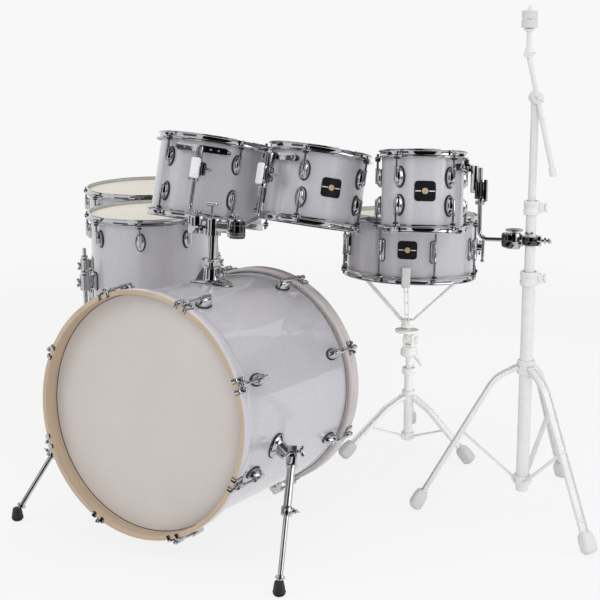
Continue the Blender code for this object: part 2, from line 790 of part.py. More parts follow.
def frame_in_kit(obj):
    """The frame of an object in the kit's own frame, from the frames of its parents."""
    matrix = Matrix()
    while obj is not None and obj.name != "kit":
        matrix = obj.matrix_basis @ matrix
        obj = obj.parent
    return matrix


def post_frame():
    """Where the post stands in the bass drum's frame: its Z rises from the top of the shell."""
    return axes((0, BASS.diameter / 2, -MOUNT_BACK), (0, 1, 0), (1, 0, 0))


def tom_mount(bass, body):
    """The oval plate and socket on the shell, with the hole that the post goes down through."""
    frame = post_frame()
    bm = bmesh.new()
    oval = Matrix.Diagonal((PLATE_LENGTH / 2, PLATE_WIDTH / 2, 1, 1))
    thick = PLATE_THICKNESS + PLATE_SAG
    lift = Matrix.Translation((0, 0, PLATE_THICKNESS - thick / 2))
    bmesh.ops.create_cone(
        bm, cap_ends=True, segments=16, radius1=1, radius2=1, depth=thick, matrix=frame @ lift @ oval
    )
    plate = solid("tom_mount_base", bm, bass, "chrome")
    bm = bmesh.new()
    add_rod(bm, frame @ Vector((0, 0, 0)), frame @ Vector((0, 0, SOCKET_HEIGHT)), SOCKET_RADIUS, 12)
    fuse(plate, solid("tom_mount_socket", bm, bass))
    bm = bmesh.new()
    fin = frame @ Matrix.Translation((-SOCKET_RADIUS - SOCKET_FIN[0] / 2 + WING[1], 0, SOCKET_HEIGHT / 2))
    add_box(bm, SOCKET_FIN, fin)
    fuse(plate, solid("tom_mount_fin", bm, bass))
    bm = bmesh.new()
    wing = axes(frame @ Vector((SOCKET_RADIUS, 0, SOCKET_HEIGHT * 0.6)), frame.col[0].xyz, frame.col[2].xyz)
    add_wing(bm, wing, *WING)
    fuse(plate, solid("tom_mount_wing", bm, bass))
    half, seat = BASS.depth / 2, BASS.diameter / 2 + SEAT
    profile = [(0, half), (seat, half), (seat, -half), (0, -half)]
    cut(plate, drum_ring(BASS, "tom_mount_shell_seat", profile, bass, None, Matrix()))
    for piece, gap in ((plate, SEAT), (body, 4 * SEAT)):
        bm = bmesh.new()
        low, high = frame @ Vector((0, 0, -POST_INSIDE / 2)), frame @ Vector((0, 0, 2 * SOCKET_HEIGHT))
        add_rod(bm, low, high, POST_RADIUS + gap, 12)
        cut(piece, solid(piece.name + "_post_hole", bm, bass))


def build_holder(bass):
    """Post and double holder, with an empty for each of their joints."""
    height = empty("tom_post_height", post_frame(), bass)
    bm = bmesh.new()
    add_rod(bm, (0, 0, -POST_INSIDE), (0, 0, POST_HEIGHT), POST_RADIUS, 12)
    solid("tom_post", bm, height, "chrome")
    turned = empty("tom_holder_turn", Matrix.Translation((0, 0, POST_HEIGHT)), height)
    bottom = SEAT - HOLDER_LAP
    bm = bmesh.new()
    add_rod(bm, (0, 0, bottom), (0, 0, bottom + HOLDER_HEIGHT), HOLDER_RADIUS, 12)
    holder = solid("tom_holder", bm, turned, "chrome")
    bm = bmesh.new()
    bar_z = bottom + HOLDER_HEIGHT / 2
    middle = (HOLDER_LEFT + HOLDER_RIGHT) / 2
    add_box(bm, (HOLDER_RIGHT - HOLDER_LEFT, *HOLDER_BAR), Matrix.Translation((middle, 0, bar_z)))
    fuse(holder, solid("tom_holder_bar", bm, turned))
    bm = bmesh.new()
    handle = Matrix.Translation((0, 0, bottom + HOLDER_HEIGHT))
    add_wing(bm, handle, HANDLE_HALF_LENGTH, HANDLE_RADIUS, HANDLE_RISE)
    fuse(holder, solid("tom_holder_handle", bm, turned))
    return height, turned, holder, bar_z


def rod_frame(drum, frame, angle, rise):
    """The frame of a tom's arm where it passes the bracket: Z is the drum's axis."""
    spot = frame @ polar(drum.diameter / 2 + BRACKET_OFFSET, angle, rise)
    return axes(spot, frame.col[2].xyz, frame.col[0].xyz)


def hang_tom(drum, frame, angle, rise, drop, carrier, start, socket_owner, blind=None):
    """An L arm from a socket to a tom: the arm turns in the socket, and the tom turns on the arm.

    Everything is worked out in the kit's frame and then hung on the carrier.
    """
    rod = rod_frame(drum, frame, angle, rise)
    elbow = rod @ Vector((0, 0, -drop))
    level = (elbow - start).normalized()
    to_carrier = frame_in_kit(carrier).inverted()
    arm_turn = empty(drum.name + "_arm_turn", to_carrier @ axes(start, level), carrier)
    to_arm = frame_in_kit(arm_turn).inverted()
    stub = start - level * (JOINT_SOCKET_LENGTH / 2 + ARM_STUB if blind is None else blind)
    top = rod @ Vector((0, 0, BRACKET_BLOCK[2] / 2 + ARM_ABOVE))
    path = [to_arm @ point for point in rounded([stub, elbow, top], ARM_BEND)]
    tube(drum.name + "_arm", path, ARM_RADIUS, arm_turn, "chrome")

    bm = bmesh.new()
    half = level * JOINT_SOCKET_LENGTH / 2
    add_rod(bm, to_carrier @ (start - half), to_carrier @ (start + half), JOINT_SOCKET_RADIUS, 10)
    fuse(socket_owner, solid(drum.name + "_arm_socket", bm, carrier))
    bm = bmesh.new()
    far = -half * 2 if blind is None else -level * (blind + 2 * SEAT)
    add_rod(bm, to_carrier @ (start + far), to_carrier @ (start + 2 * half), ARM_BORE)
    cut(socket_owner, solid(drum.name + "_arm_socket_bore", bm, carrier))

    swivel = empty(drum.name + "_swivel", to_arm @ rod, arm_turn)
    place = Matrix.Translation(-polar(drum.diameter / 2 + BRACKET_OFFSET, angle, rise))
    build_tom(drum, swivel, place, angle, rise)


def bracket_angle(drum, gap):
    """Half way between two neighbouring lugs."""
    return drum.lug_angle + 360 / drum.lugs * (gap + 0.5)


def build_floor_tom(drum, kit, place, top):
    """A level drum on three sliding legs."""
    middle = top - half_height(drum)
    frame = Matrix.Translation((*place, middle)) @ turn(FLOOR_TURN)
    base = empty(drum.name, frame, kit)
    body = shell(drum, drum.name + "_shell", base, Matrix())
    fuse(body, tapered_lugs(drum, drum.name + "_lugs", base, Matrix(), LUG_STAND))
    heads_and_hoops(drum, base, Matrix(), lug_rod_end(drum))
    block_z = LEG_BLOCK_RISE - drum.depth / 2
    reach = drum.diameter / 2 + LEG_OFFSET
    blocks, bores = bmesh.new(), bmesh.new()
    for angle in LEG_ANGLES:
        inner = drum.diameter / 2 - drum.wall * 0.6
        outer = reach + LEG_BLOCK[1] / 2 - LEG_BLOCK_BACK
        size = (outer - inner, LEG_BLOCK[1], LEG_BLOCK[2])
        add_box(blocks, size, turn(angle) @ Matrix.Translation(((inner + outer) / 2, 0, block_z)))
        spot = polar(reach, angle, block_z)
        past = Vector((0, 0, LEG_BLOCK[2]))
        add_rod(bores, spot - past, spot + past, LEG_BORE)
    fuse(body, solid(drum.name + "_leg_blocks", blocks, base))
    cut(body, solid(drum.name + "_leg_bores", bores, base))
    for number, angle in enumerate(LEG_ANGLES, 1):
        spot = Matrix.Translation(polar(reach, angle, block_z))
        slide = empty(f"{drum.name}_leg_{number}_slide", spot, base)
        floor = -(middle + block_z)
        out = polar(LEG_SPLAY, angle)
        knee = Vector((0, 0, floor + LEG_KNEE))
        foot = Vector((out.x, out.y, floor + FOOT_HEIGHT * 0.6))
        path = rounded([(0, 0, LEG_BLOCK[2] / 2 + LEG_ABOVE), knee, foot], ARM_BEND * 2, 2)
        leg = tube_mesh(f"{drum.name}_leg_{number}", path, LEG_RADIUS, slide, "chrome", 1)
        spot = frame @ (polar(reach, angle, block_z) + out)
        fuse(leg, rubber_foot(leg.name + "_foot", slide, spot))


def build_snare(parent, place):
    """A shallow drum with tube lugs, a strainer with its lever, and wires under the lower head."""
    body = shell(SNARE, "snare_shell", parent, place)
    radius = SNARE.diameter / 2
    tubes, posts = bmesh.new(), bmesh.new()
    for angle in lug_angles(SNARE):
        spot = polar(radius + ROD_OFFSET, angle)
        rise = Vector((0, 0, TUBE_LUG_HALF_LENGTH))
        add_rod(tubes, spot - rise, spot + rise, TUBE_LUG_RADIUS, 6, x=polar(1, angle))
        root = radius - SNARE.wall * 0.6
        size = (radius + ROD_OFFSET - TUBE_LUG_RADIUS / 4 - root, TUBE_LUG_POST, TUBE_LUG_POST)
        for side in (1, -1):
            post = Matrix.Translation((root + size[0] / 2, 0, side * TUBE_LUG_HALF_LENGTH * 0.6))
            add_box(posts, size, turn(angle) @ post)
    fuse(body, solid("snare_tube_lugs", tubes, parent, None, place))
    fuse(body, solid("snare_lug_posts", posts, parent, None, place))
    bm = bmesh.new()
    plate_x = radius + STRAINER_SIZE[0] / 2 - SNARE.wall * 0.6
    add_box(bm, STRAINER_SIZE, turn(STRAINER_ANGLE) @ Matrix.Translation((plate_x, 0, 0)))
    butt_x = radius + BUTT_SIZE[0] / 2 - SNARE.wall * 0.6
    butt_z = BUTT_SIZE[2] / 2 - SNARE.depth / 2 + FLESH_DEPTH * 2
    add_box(bm, BUTT_SIZE, turn(STRAINER_ANGLE + 180) @ Matrix.Translation((butt_x, 0, butt_z)))
    fuse(body, solid("snare_strainer_plates", bm, parent, None, place))
    heads_and_hoops(SNARE, parent, place, TUBE_LUG_HALF_LENGTH + SEAT)

    lever_x = radius + STRAINER_SIZE[0] - SNARE.wall * 0.6 + LEVER_THICKNESS * 0.71 + SEAT
    pivot = polar(lever_x, STRAINER_ANGLE, LEVER_PIVOT_DROP - STRAINER_SIZE[2] / 2)
    tangent = polar(1, STRAINER_ANGLE + 90)
    throw = empty("snare_lever_throw", place @ axes(pivot, tangent, polar(1, STRAINER_ANGLE)), parent)
    bm = bmesh.new()
    size = (LEVER_THICKNESS, LEVER_LENGTH, LEVER_WIDTH)
    add_box(bm, size, Matrix.Translation((0, (LEVER_THICKNESS - LEVER_LENGTH) / 2, 0)))
    solid("snare_lever", bm, throw, "chrome")

    under = -film_top(SNARE) - FILM - 2 * SEAT
    drop = empty("snare_wires_drop", place @ Matrix.Translation((0, 0, under)), parent)
    bm = bmesh.new()
    strands = turn(STRAINER_ANGLE)
    for side in (1, -1):
        spot = Matrix.Translation((side * (WIRE_LENGTH - WIRE_PLATE) / 2, 0, -WIRE_RADIUS))
        add_box(bm, (WIRE_PLATE, WIRE_BAND, 2 * WIRE_RADIUS), strands @ spot)
    wires = solid("snare_wires", bm, drop, "chrome")
    bm = bmesh.new()
    for number in range(WIRE_COUNT):
        y = (number / (WIRE_COUNT - 1) - 0.5) * (WIRE_BAND - 4 * WIRE_RADIUS)
        end = WIRE_LENGTH / 2 - WIRE_PLATE / 2
        near, far = strands @ Vector((-end, y, -WIRE_RADIUS)), strands @ Vector((end, y, -WIRE_RADIUS))
        add_rod(bm, near, far, WIRE_RADIUS * 0.9, 4)
    fuse(wires, solid("snare_wire_strands", bm, drop))


def tripod(name, kit, place, reach, angles, hub_z, low_z, radius, bore, bottom, top):
    """A lower tube with a collar at its top and three braced legs on rubber feet."""
    spot = Matrix.Translation((*place, 0))
    bm = bmesh.new()
    add_rod(bm, (0, 0, bottom), (0, 0, top), radius, TUBE_FACETS)
    pipe = solid(name, bm, kit, "stand_metal", spot)
    collars = bmesh.new()
    for z, share in ((top, 0.5), (hub_z, 0.5), (low_z, 0.3)):
        half = Vector((0, 0, STAND_COLLAR_HEIGHT * share))
        add_rod(collars, Vector((0, 0, z)) - half, Vector((0, 0, z)) + half, radius + COLLAR_STAND, TUBE_FACETS)
    fuse(pipe, solid(name + "_collars", collars, kit, None, spot))
    legs, braces, feet, wings = bmesh.new(), bmesh.new(), bmesh.new(), bmesh.new()
    for angle in angles:
        hub = polar(radius, angle, hub_z)
        foot = polar(reach, angle, FOOT_HEIGHT * 0.6)
        across = polar(1, angle + 90)
        add_strap(legs, hub, foot, *TRIPOD_STRAP, across)
        brace = hub.lerp(foot, BRACE_AT)
        add_strap(braces, polar(radius, angle, low_z), brace, *BRACE_STRAP, across)
        add_rod(feet, polar(reach, angle), polar(reach, angle, FOOT_HEIGHT), FOOT_RADIUS, 8, FOOT_TOP_RADIUS)
    add_wing(wings, collar_wing(radius, top), *WING)
    for part, bm in (("legs", legs), ("braces", braces), ("feet", feet), ("wing", wings)):
        fuse(pipe, solid(f"{name}_{part}", bm, kit, None, spot))
    bm = bmesh.new()
    add_rod(bm, (0, 0, bottom - FOOT_HEIGHT), (0, 0, top + STAND_COLLAR_HEIGHT), bore, TUBE_FACETS)
    cut(pipe, solid(name + "_bore", bm, kit, None, spot))
    return pipe


def collar_wing(radius, z):
    """The place of a wing screw on a collar, on the player's side."""
    return axes((0, radius + COLLAR_STAND, z), (0, 1, 0), (0, 0, 1))


def build_stand(kit):
    """The boom stand: three tubes in each other, a tilter and a boom with a cymbal seat."""
    tripod(
        "stand_base", kit, STAND_PLACE, STAND_FOOT_REACH, STAND_FOOT_ANGLES, STAND_HUB_Z, STAND_LOW_Z,
        STAND_BASE_RADIUS, STAND_BASE_BORE, STAND_BASE_BOTTOM, STAND_BASE_TOP,
    )
    middle = empty("stand_height_low", Matrix.Translation((*STAND_PLACE, STAND_BASE_TOP)), kit)
    shift = Vector((0, 0, STAND_BASE_TOP))
    low, high = STAND_MIDDLE_BOTTOM - shift.z, STAND_MIDDLE_TOP - shift.z
    radius, bore = STAND_MIDDLE_RADIUS, STAND_MIDDLE_BORE
    bm = bmesh.new()
    add_rod(bm, (0, 0, low), (0, 0, high), radius, TUBE_FACETS)
    pipe = solid("stand_middle_tube", bm, middle, "stand_metal")
    bm = bmesh.new()
    half = STAND_COLLAR_HEIGHT / 2
    add_rod(bm, (0, 0, high - half), (0, 0, high + half), radius + COLLAR_STAND, TUBE_FACETS)
    fuse(pipe, solid("stand_middle_collar", bm, middle))
    bm = bmesh.new()
    add_wing(bm, collar_wing(radius, high), *WING)
    fuse(pipe, solid("stand_middle_wing", bm, middle))
    bm = bmesh.new()
    add_rod(bm, (0, 0, low - half), (0, 0, high + 2 * half), bore, TUBE_FACETS)
    cut(pipe, solid("stand_middle_bore", bm, middle))

    upper = empty("stand_height_high", Matrix.Translation((0, 0, high)), middle)
    base = STAND_MIDDLE_TOP
    tilter_z = STAND_TILTER_Z - base
    bm = bmesh.new()
    neck_z = tilter_z - TILTER_RADIUS - TILTER_NECK
    add_rod(bm, (0, 0, STAND_TOP_BOTTOM - base), (0, 0, neck_z), STAND_TOP_RADIUS, TUBE_FACETS)
    top = solid("stand_top_tube", bm, upper, "stand_metal")
    lean = Vector((*BOOM_LEAN, 0))
    boom_axis = (lean + Vector((0, 0, 1))).normalized()
    pin = Vector((0, 0, 1)).cross(lean).normalized()
    pivot = Vector((0, 0, tilter_z))
    half_body = pin * (BOOM_OFFSET - TILTER_LENGTH / 2 - SEAT)
    bm = bmesh.new()
    add_rod(bm, pivot - half_body, pivot + half_body, TILTER_RADIUS, 10)
    fuse(top, solid("stand_tilter_body", bm, upper))
    bm = bmesh.new()
    add_rod(bm, (0, 0, neck_z - TILTER_NECK), (0, 0, tilter_z), TILTER_NECK_RADIUS, TUBE_FACETS)
    fuse(top, solid("stand_tilter_neck", bm, upper))

    tilt = empty("boom_tilt", axes(pivot + pin * BOOM_OFFSET, pin, boom_axis), upper)
    bm = bmesh.new()
    add_rod(bm, (0, 0, -TILTER_LENGTH / 2), (0, 0, TILTER_LENGTH / 2), TILTER_RADIUS, 10)
    boom = solid("boom_arm", bm, tilt, "stand_metal")
    bm = bmesh.new()
    add_rod(bm, (-BOOM_TAIL, 0, 0), (BOOM_REACH, 0, 0), BOOM_RADIUS, 8)
    fuse(boom, solid("boom_rod", bm, tilt))
    to_tilt = (upper.matrix_basis @ tilt.matrix_basis).to_3x3().inverted()
    rise = to_tilt @ Vector((0, 0, 1))
    seat = axes((BOOM_REACH, 0, 0), rise, (0, 0, 1))
    profile = [
        (0, SEAT_RISE),
        (WING[1], SEAT_RISE),
        (WING[1], SEAT_PLATE_Z + SEAT_PLATE),
        (SEAT_RADIUS, SEAT_PLATE_Z + SEAT_PLATE),
        (SEAT_RADIUS, SEAT_PLATE_Z),
        (BOOM_RADIUS, SEAT_PLATE_Z),
        (BOOM_RADIUS, SEAT_FOOT),
        (SEAT_FOOT_RADIUS, SEAT_FOOT),
        (SEAT_FOOT_RADIUS, -SEAT_FOOT),
        (0, -SEAT_FOOT),
    ]
    bm = bmesh.new()
    add_turned(bm, profile, 12, seat)
    fuse(boom, solid("boom_cymbal_seat", bm, tilt))
    return middle


def build_clamp(middle):
    """The clamp on the boom stand's middle tube, and where its socket points."""
    frame = lean_frame(TOM_8_CENTRE, TOM_8_LEAN, TOM_8_TURN)
    rod = rod_frame(TOM_8, frame, bracket_angle(TOM_8, 4), TOM_8_BRACKET_RISE)
    elbow = rod @ Vector((0, 0, -TOM_8_ELBOW_DROP))
    axis = Vector((*STAND_PLACE, elbow.z))
    towards = (elbow - axis).normalized()
    start = axis + towards * (CLAMP_RING_RADIUS + JOINT_SOCKET_LENGTH / 2)
    swing = empty("stand_clamp_turn", Matrix.Translation((0, 0, elbow.z - STAND_BASE_TOP)), middle)
    half = Vector((0, 0, CLAMP_RING_HEIGHT / 2))
    bm = bmesh.new()
    add_rod(bm, -half, half, CLAMP_RING_RADIUS, 12)
    clamp = solid("stand_clamp", bm, swing, "chrome")
    bm = bmesh.new()
    bolt = axes(-towards * CLAMP_RING_RADIUS, -towards, (0, 0, 1))
    add_wing(bm, bolt, HANDLE_HALF_LENGTH * 0.8, HANDLE_RADIUS, CLAMP_BOLT_REACH - CLAMP_RING_RADIUS)
    fuse(clamp, solid("stand_clamp_bolt", bm, swing))
    bm = bmesh.new()
    neck = axes(towards * CLAMP_RING_RADIUS, (0, 0, 1), towards)
    add_box(bm, (CLAMP_RING_HEIGHT, CLAMP_NECK, CLAMP_RING_HEIGHT), neck)
    fuse(clamp, solid("stand_clamp_neck", bm, swing))
    bm = bmesh.new()
    add_rod(bm, -2 * half, 2 * half, (STAND_MIDDLE_RADIUS + SEAT) / math.cos(math.pi / 12), 12)
    cut(clamp, solid("stand_clamp_bore", bm, swing))
    return swing, clamp, start


def build_snare_stand(kit):
    """Tripod, upper tube and the three-armed basket that the snare drum lies in."""
    place = SNARE_CENTRE[:2]
    tripod(
        "snare_stand_base", kit, place, SNARE_STAND_FOOT_REACH, SNARE_STAND_FOOT_ANGLES, SNARE_STAND_HUB_Z,
        SNARE_STAND_LOW_Z, SNARE_STAND_BASE_RADIUS, SNARE_STAND_BASE_BORE, SNARE_STAND_BASE_BOTTOM,
        SNARE_STAND_BASE_TOP,
    )
    height = empty("snare_stand_height", Matrix.Translation((*place, SNARE_STAND_BASE_TOP)), kit)
    base = SNARE_STAND_BASE_TOP
    pivot_z = SNARE_STAND_TILTER_Z - base
    bm = bmesh.new()
    neck_z = pivot_z - TILTER_RADIUS - TILTER_NECK
    add_rod(bm, (0, 0, SNARE_STAND_TUBE_BOTTOM - base), (0, 0, neck_z), SNARE_STAND_TUBE_RADIUS, TUBE_FACETS)
    pipe = solid("snare_stand_tube", bm, height, "stand_metal")
    cheek = TILTER_LENGTH / 2 + SEAT
    fork = 2 * (cheek + TILTER_CHEEK)
    bm = bmesh.new()
    add_box(bm, (fork, TILTER_RADIUS, TILTER_NECK), Matrix.Translation((0, 0, neck_z + TILTER_NECK / 3)))
    fuse(pipe, solid("snare_tilter_fork", bm, height))
    bm = bmesh.new()
    for side in (1, -1):
        spot = Matrix.Translation((side * (cheek + TILTER_CHEEK / 2), 0, pivot_z - TILTER_RADIUS / 2))
        add_box(bm, (TILTER_CHEEK, 1.6 * TILTER_RADIUS, 3 * TILTER_RADIUS), spot)
    fuse(pipe, solid("snare_tilter_cheeks", bm, height))

    tilt = empty("snare_basket_tilt", axes((0, 0, pivot_z), (1, 0, 0), (0, 1, 0)), height)
    to_tilt = frame_in_kit(tilt).inverted()
    bm = bmesh.new()
    add_rod(bm, (0, 0, -TILTER_LENGTH / 2), (0, 0, TILTER_LENGTH / 2), TILTER_RADIUS, 10)
    basket = solid("snare_basket", bm, tilt, "stand_metal")
    drum_frame = lean_frame(SNARE_CENTRE, SNARE_LEAN, SNARE_TURN)
    nut_drop = SNARE_CENTRE[2] - SNARE_STAND_NUT_Z
    hub = drum_frame @ Vector((0, 0, -nut_drop))
    pivot = Vector((*place, SNARE_STAND_TILTER_Z))
    bm = bmesh.new()
    add_rod(bm, to_tilt @ pivot, to_tilt @ hub, BASKET_STEM_RADIUS, 8)
    fuse(basket, solid("snare_basket_stem", bm, tilt))
    bm = bmesh.new()
    up = drum_frame.col[2].xyz
    add_rod(bm, to_tilt @ (hub - up * HUB_HALF), to_tilt @ (hub + up * HUB_HALF), HUB_RADIUS, 12)
    fuse(basket, solid("snare_basket_hub", bm, tilt))
    arms, rises, pads = bmesh.new(), bmesh.new(), bmesh.new()
    under = half_height(SNARE)
    seat_radius = SNARE.diameter / 2 + FLESH_REACH + HOOP_FLANGE
    inner = seat_radius + 2 * SEAT
    seat_z = -under - SEAT
    wall_z = seat_z + BASKET_PAD_HEIGHT / 2 - BASKET_PAD_FLOOR
    for angle in BASKET_ANGLES:
        cradle = to_tilt @ drum_frame @ turn(angle)
        across = cradle.col[1].xyz
        low = cradle @ Vector((HUB_RADIUS * 0.5, 0, -nut_drop))
        bend = cradle @ Vector((seat_radius * 0.86, 0, -under - BASKET_DIP))
        tip = cradle @ Vector((seat_radius + BASKET_PAD_THICKNESS, 0, -under - BASKET_SHELF_DROP))
        add_strap(arms, low, bend, BASKET_ARM_WIDTH, BASKET_ARM_THICKNESS, across)
        add_strap(rises, bend.lerp(low, 0.04), tip, BASKET_ARM_WIDTH * 0.9, BASKET_ARM_THICKNESS, across)
        shelf_x = inner + BASKET_PAD_THICKNESS - BASKET_PAD_FLOOR
        shelf = Matrix.Translation((shelf_x, 0, seat_z - BASKET_PAD_FLOOR / 2))
        wall = Matrix.Translation((inner + BASKET_PAD_THICKNESS / 2, 0, wall_z))
        add_box(pads, (BASKET_PAD_THICKNESS, BASKET_PAD_WIDTH, BASKET_PAD_HEIGHT), cradle @ wall)
        add_box(rises, (BASKET_SHELF, BASKET_PAD_WIDTH * 0.98, BASKET_PAD_FLOOR), cradle @ shelf)
    fuse(basket, solid("snare_basket_arms", arms, tilt))
    fuse(basket, solid("snare_basket_rises", rises, tilt))
    fuse(basket, solid("snare_basket_pads", pads, tilt))
    return tilt, to_tilt @ drum_frame


def stand_on_floor(kit):
    """Moves the kit so that the middle of its box is over the origin."""
    bpy.context.view_layer.update()
    graph = bpy.context.evaluated_depsgraph_get()
    corners = []
    for obj in PARTS.objects:
        if obj.type == "EMPTY":
            continue
        evaluated = obj.evaluated_get(graph)
        mesh = evaluated.to_mesh()
        corners += [evaluated.matrix_world @ vertex.co for vertex in mesh.vertices]
        evaluated.to_mesh_clear()
    for axis in range(2):
        places = [corner[axis] for corner in corners]
        kit.location[axis] = -(min(places) + max(places)) / 2


def build_kit():
    kit = empty("kit", Matrix(), None)
    bass = build_bass(kit)
    height, holder_turn, holder, bar_z = build_holder(bass)
    holder_frame = frame_in_kit(holder_turn)
    left, right = (holder_frame @ Vector((x, 0, bar_z)) for x in (HOLDER_LEFT, HOLDER_RIGHT))
    frame = lean_frame(TOM_12_CENTRE, TOM_12_LEAN, TOM_12_TURN)
    angle = bracket_angle(TOM_12, 4)
    hang_tom(TOM_12, frame, angle, TOM_12_BRACKET_RISE, TOM_12_ELBOW_DROP, holder_turn, left, holder)
    frame = lean_frame(TOM_10_CENTRE, TOM_10_LEAN, TOM_10_TURN)
    angle = bracket_angle(TOM_10, 3)
    hang_tom(TOM_10, frame, angle, TOM_10_BRACKET_RISE, TOM_10_ELBOW_DROP, holder_turn, right, holder)
    cut_post_bore(holder, holder_turn)
    build_floor_tom(FLOOR_14, kit, FLOOR_14_PLACE, FLOOR_14_TOP)
    build_floor_tom(FLOOR_16, kit, FLOOR_16_PLACE, FLOOR_16_TOP)
    tilt, snare_place = build_snare_stand(kit)
    build_snare(tilt, snare_place)
    middle = build_stand(kit)
    swing, clamp, start = build_clamp(middle)
    frame = lean_frame(TOM_8_CENTRE, TOM_8_LEAN, TOM_8_TURN)
    angle = bracket_angle(TOM_8, 4)
    blind = JOINT_SOCKET_LENGTH / 2 - 2 * SEAT
    hang_tom(TOM_8, frame, angle, TOM_8_BRACKET_RISE, TOM_8_ELBOW_DROP, swing, start, clamp, blind)
    stand_on_floor(kit)


def cut_post_bore(holder, holder_turn):
    """The blind bore in the holder that the post's end sits in."""
    bm = bmesh.new()
    add_rod(bm, (0, 0, -2 * HOLDER_LAP), (0, 0, SEAT), POST_RADIUS + SEAT, 12)
    cut(holder, solid("tom_holder_post_bore", bm, holder_turn))


build_kit()
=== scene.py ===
"""The looks of a seven-drum kit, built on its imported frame, with +Z up and the audience at -Y.

Shapes are in millimetres until piece() makes them, and the studio is in metres.
"""

import json
import math

import bmesh
import bpy
from mathutils import Matrix, Vector

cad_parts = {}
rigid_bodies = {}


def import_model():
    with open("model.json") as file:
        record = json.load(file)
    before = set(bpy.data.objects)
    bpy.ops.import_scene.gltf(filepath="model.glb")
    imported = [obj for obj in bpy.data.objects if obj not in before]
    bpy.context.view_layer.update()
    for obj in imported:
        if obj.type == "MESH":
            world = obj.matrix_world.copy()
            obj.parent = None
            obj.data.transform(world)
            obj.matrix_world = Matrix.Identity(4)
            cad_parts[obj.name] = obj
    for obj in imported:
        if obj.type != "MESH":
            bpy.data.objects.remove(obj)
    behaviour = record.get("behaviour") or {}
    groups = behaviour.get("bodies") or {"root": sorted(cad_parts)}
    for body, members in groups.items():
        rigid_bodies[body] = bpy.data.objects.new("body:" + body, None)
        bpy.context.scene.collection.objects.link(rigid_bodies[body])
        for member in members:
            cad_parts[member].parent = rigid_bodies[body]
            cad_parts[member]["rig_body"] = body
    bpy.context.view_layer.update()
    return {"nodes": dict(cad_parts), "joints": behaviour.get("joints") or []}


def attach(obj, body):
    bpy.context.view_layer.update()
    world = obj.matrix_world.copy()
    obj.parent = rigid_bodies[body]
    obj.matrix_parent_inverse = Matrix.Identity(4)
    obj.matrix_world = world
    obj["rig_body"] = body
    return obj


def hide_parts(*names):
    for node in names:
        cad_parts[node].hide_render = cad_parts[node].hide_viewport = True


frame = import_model()

MM = 0.001
INCH = 25.4
HINGE = next(j for j in frame["joints"] if j["name"] == "spur_left_fold")["pos_m"]
HINGE_AT = Vector((318, -108, 250))
SHIFT = Vector((HINGE[0] / MM + HINGE_AT.x, HINGE[1] / MM - HINGE_AT.y, 0))
KIT = Matrix.Translation(SHIFT)

# Radius, depth, wall, number of lugs and bearing of the first one.
DRUMS = {
    "bass": (11 * INCH, 18 * INCH, 8, 8, 22.5),
    "tom_12": (6 * INCH, 8 * INCH, 6, 5, 0),
    "tom_10": (5 * INCH, 7 * INCH, 6, 5, 0),
    "tom_8": (4 * INCH, 7 * INCH, 6, 5, 0),
    "floor_tom_14": (7 * INCH, 12 * INCH, 6.5, 8, 0),
    "floor_tom_16": (8 * INCH, 14 * INCH, 6.5, 8, 0),
    "snare": (7 * INCH, 6 * INCH, 6, 8, 0),
}
BODY_OF = {"tom_12": "tom_12_drum", "tom_10": "tom_10_drum", "tom_8": "tom_8_drum", "floor_tom_14": "kit",
           "floor_tom_16": "kit", "snare": "snare_drum"}
ROD_OUT = 15.5
LUG_IN = 55
ROD_DEEP = LUG_IN - 22.5
ARM_OUT = 44
FLIP = Matrix.Rotation(math.pi, 4, "X")
OUT, IN = (Matrix.Rotation(side * math.pi / 2, 4, "Y") for side in (1, -1))


def axes(origin, z, x=(1, 0, 0)):
    z = Vector(z).normalized()
    x = Vector(x)
    x = (x - z * x.dot(z)).normalized()
    matrix = Matrix((x, z.cross(x), z)).transposed().to_4x4()
    matrix.translation = Vector(origin)
    return matrix


def turn(degrees):
    return Matrix.Rotation(math.radians(degrees), 4, "Z")


def move(x, y, z):
    return Matrix.Translation((x, y, z))


def polar(radius, degrees, z=0):
    angle = math.radians(degrees)
    return Vector((radius * math.cos(angle), radius * math.sin(angle), z))


def lean_frame(centre, lean, degrees):
    upright = math.sqrt(1 - lean[0] ** 2 - lean[1] ** 2)
    return KIT @ axes(centre, (*lean, upright)) @ turn(degrees)


def film_top(depth):
    return depth / 2 + 1.3


HALF = {name: film_top(depth) + 11.15 for name, (_, depth, *_) in DRUMS.items()}
BASS_TILT = math.radians(5.2)
BASS_R, BASS_DEPTH = DRUMS["bass"][:2]
HOOP_DEPTH = 38
WOOD_BACK = film_top(BASS_DEPTH) + 0.15
WOOD_OUT = (BASS_R + 13.5) * math.cos(math.pi / 32)
BASS_Z = 0.4 + math.sin(BASS_TILT) * (WOOD_BACK + HOOP_DEPTH) + math.cos(BASS_TILT) * WOOD_OUT
FRAMES = {
    "bass": KIT @ move(0, 0, BASS_Z) @ Matrix.Rotation(math.pi / 2 - BASS_TILT, 4, "X"),
    "tom_12": lean_frame((-213, 344, 788), (0.028, 0.25), -32),
    "tom_10": lean_frame((122, 338, 797), (0.03, 0.244), -3),
    "tom_8": lean_frame((428, 340, 808), (-0.072, 0.174), 46),
    "floor_tom_14": KIT @ move(-543, 490, 661 - HALF["floor_tom_14"]) @ turn(-16.5),
    "floor_tom_16": KIT @ move(-805, 825, 671 - HALF["floor_tom_16"]) @ turn(-16.5),
    "snare": lean_frame((255.5, 641.7, 607.6), (-0.01, 0.08), 0),
}


# Meshes.


def circle(radius, sides, z=0):
    step = 2 * math.pi / sides
    return [(radius * math.cos(i * step), radius * math.sin(i * step), z) for i in range(sides)]


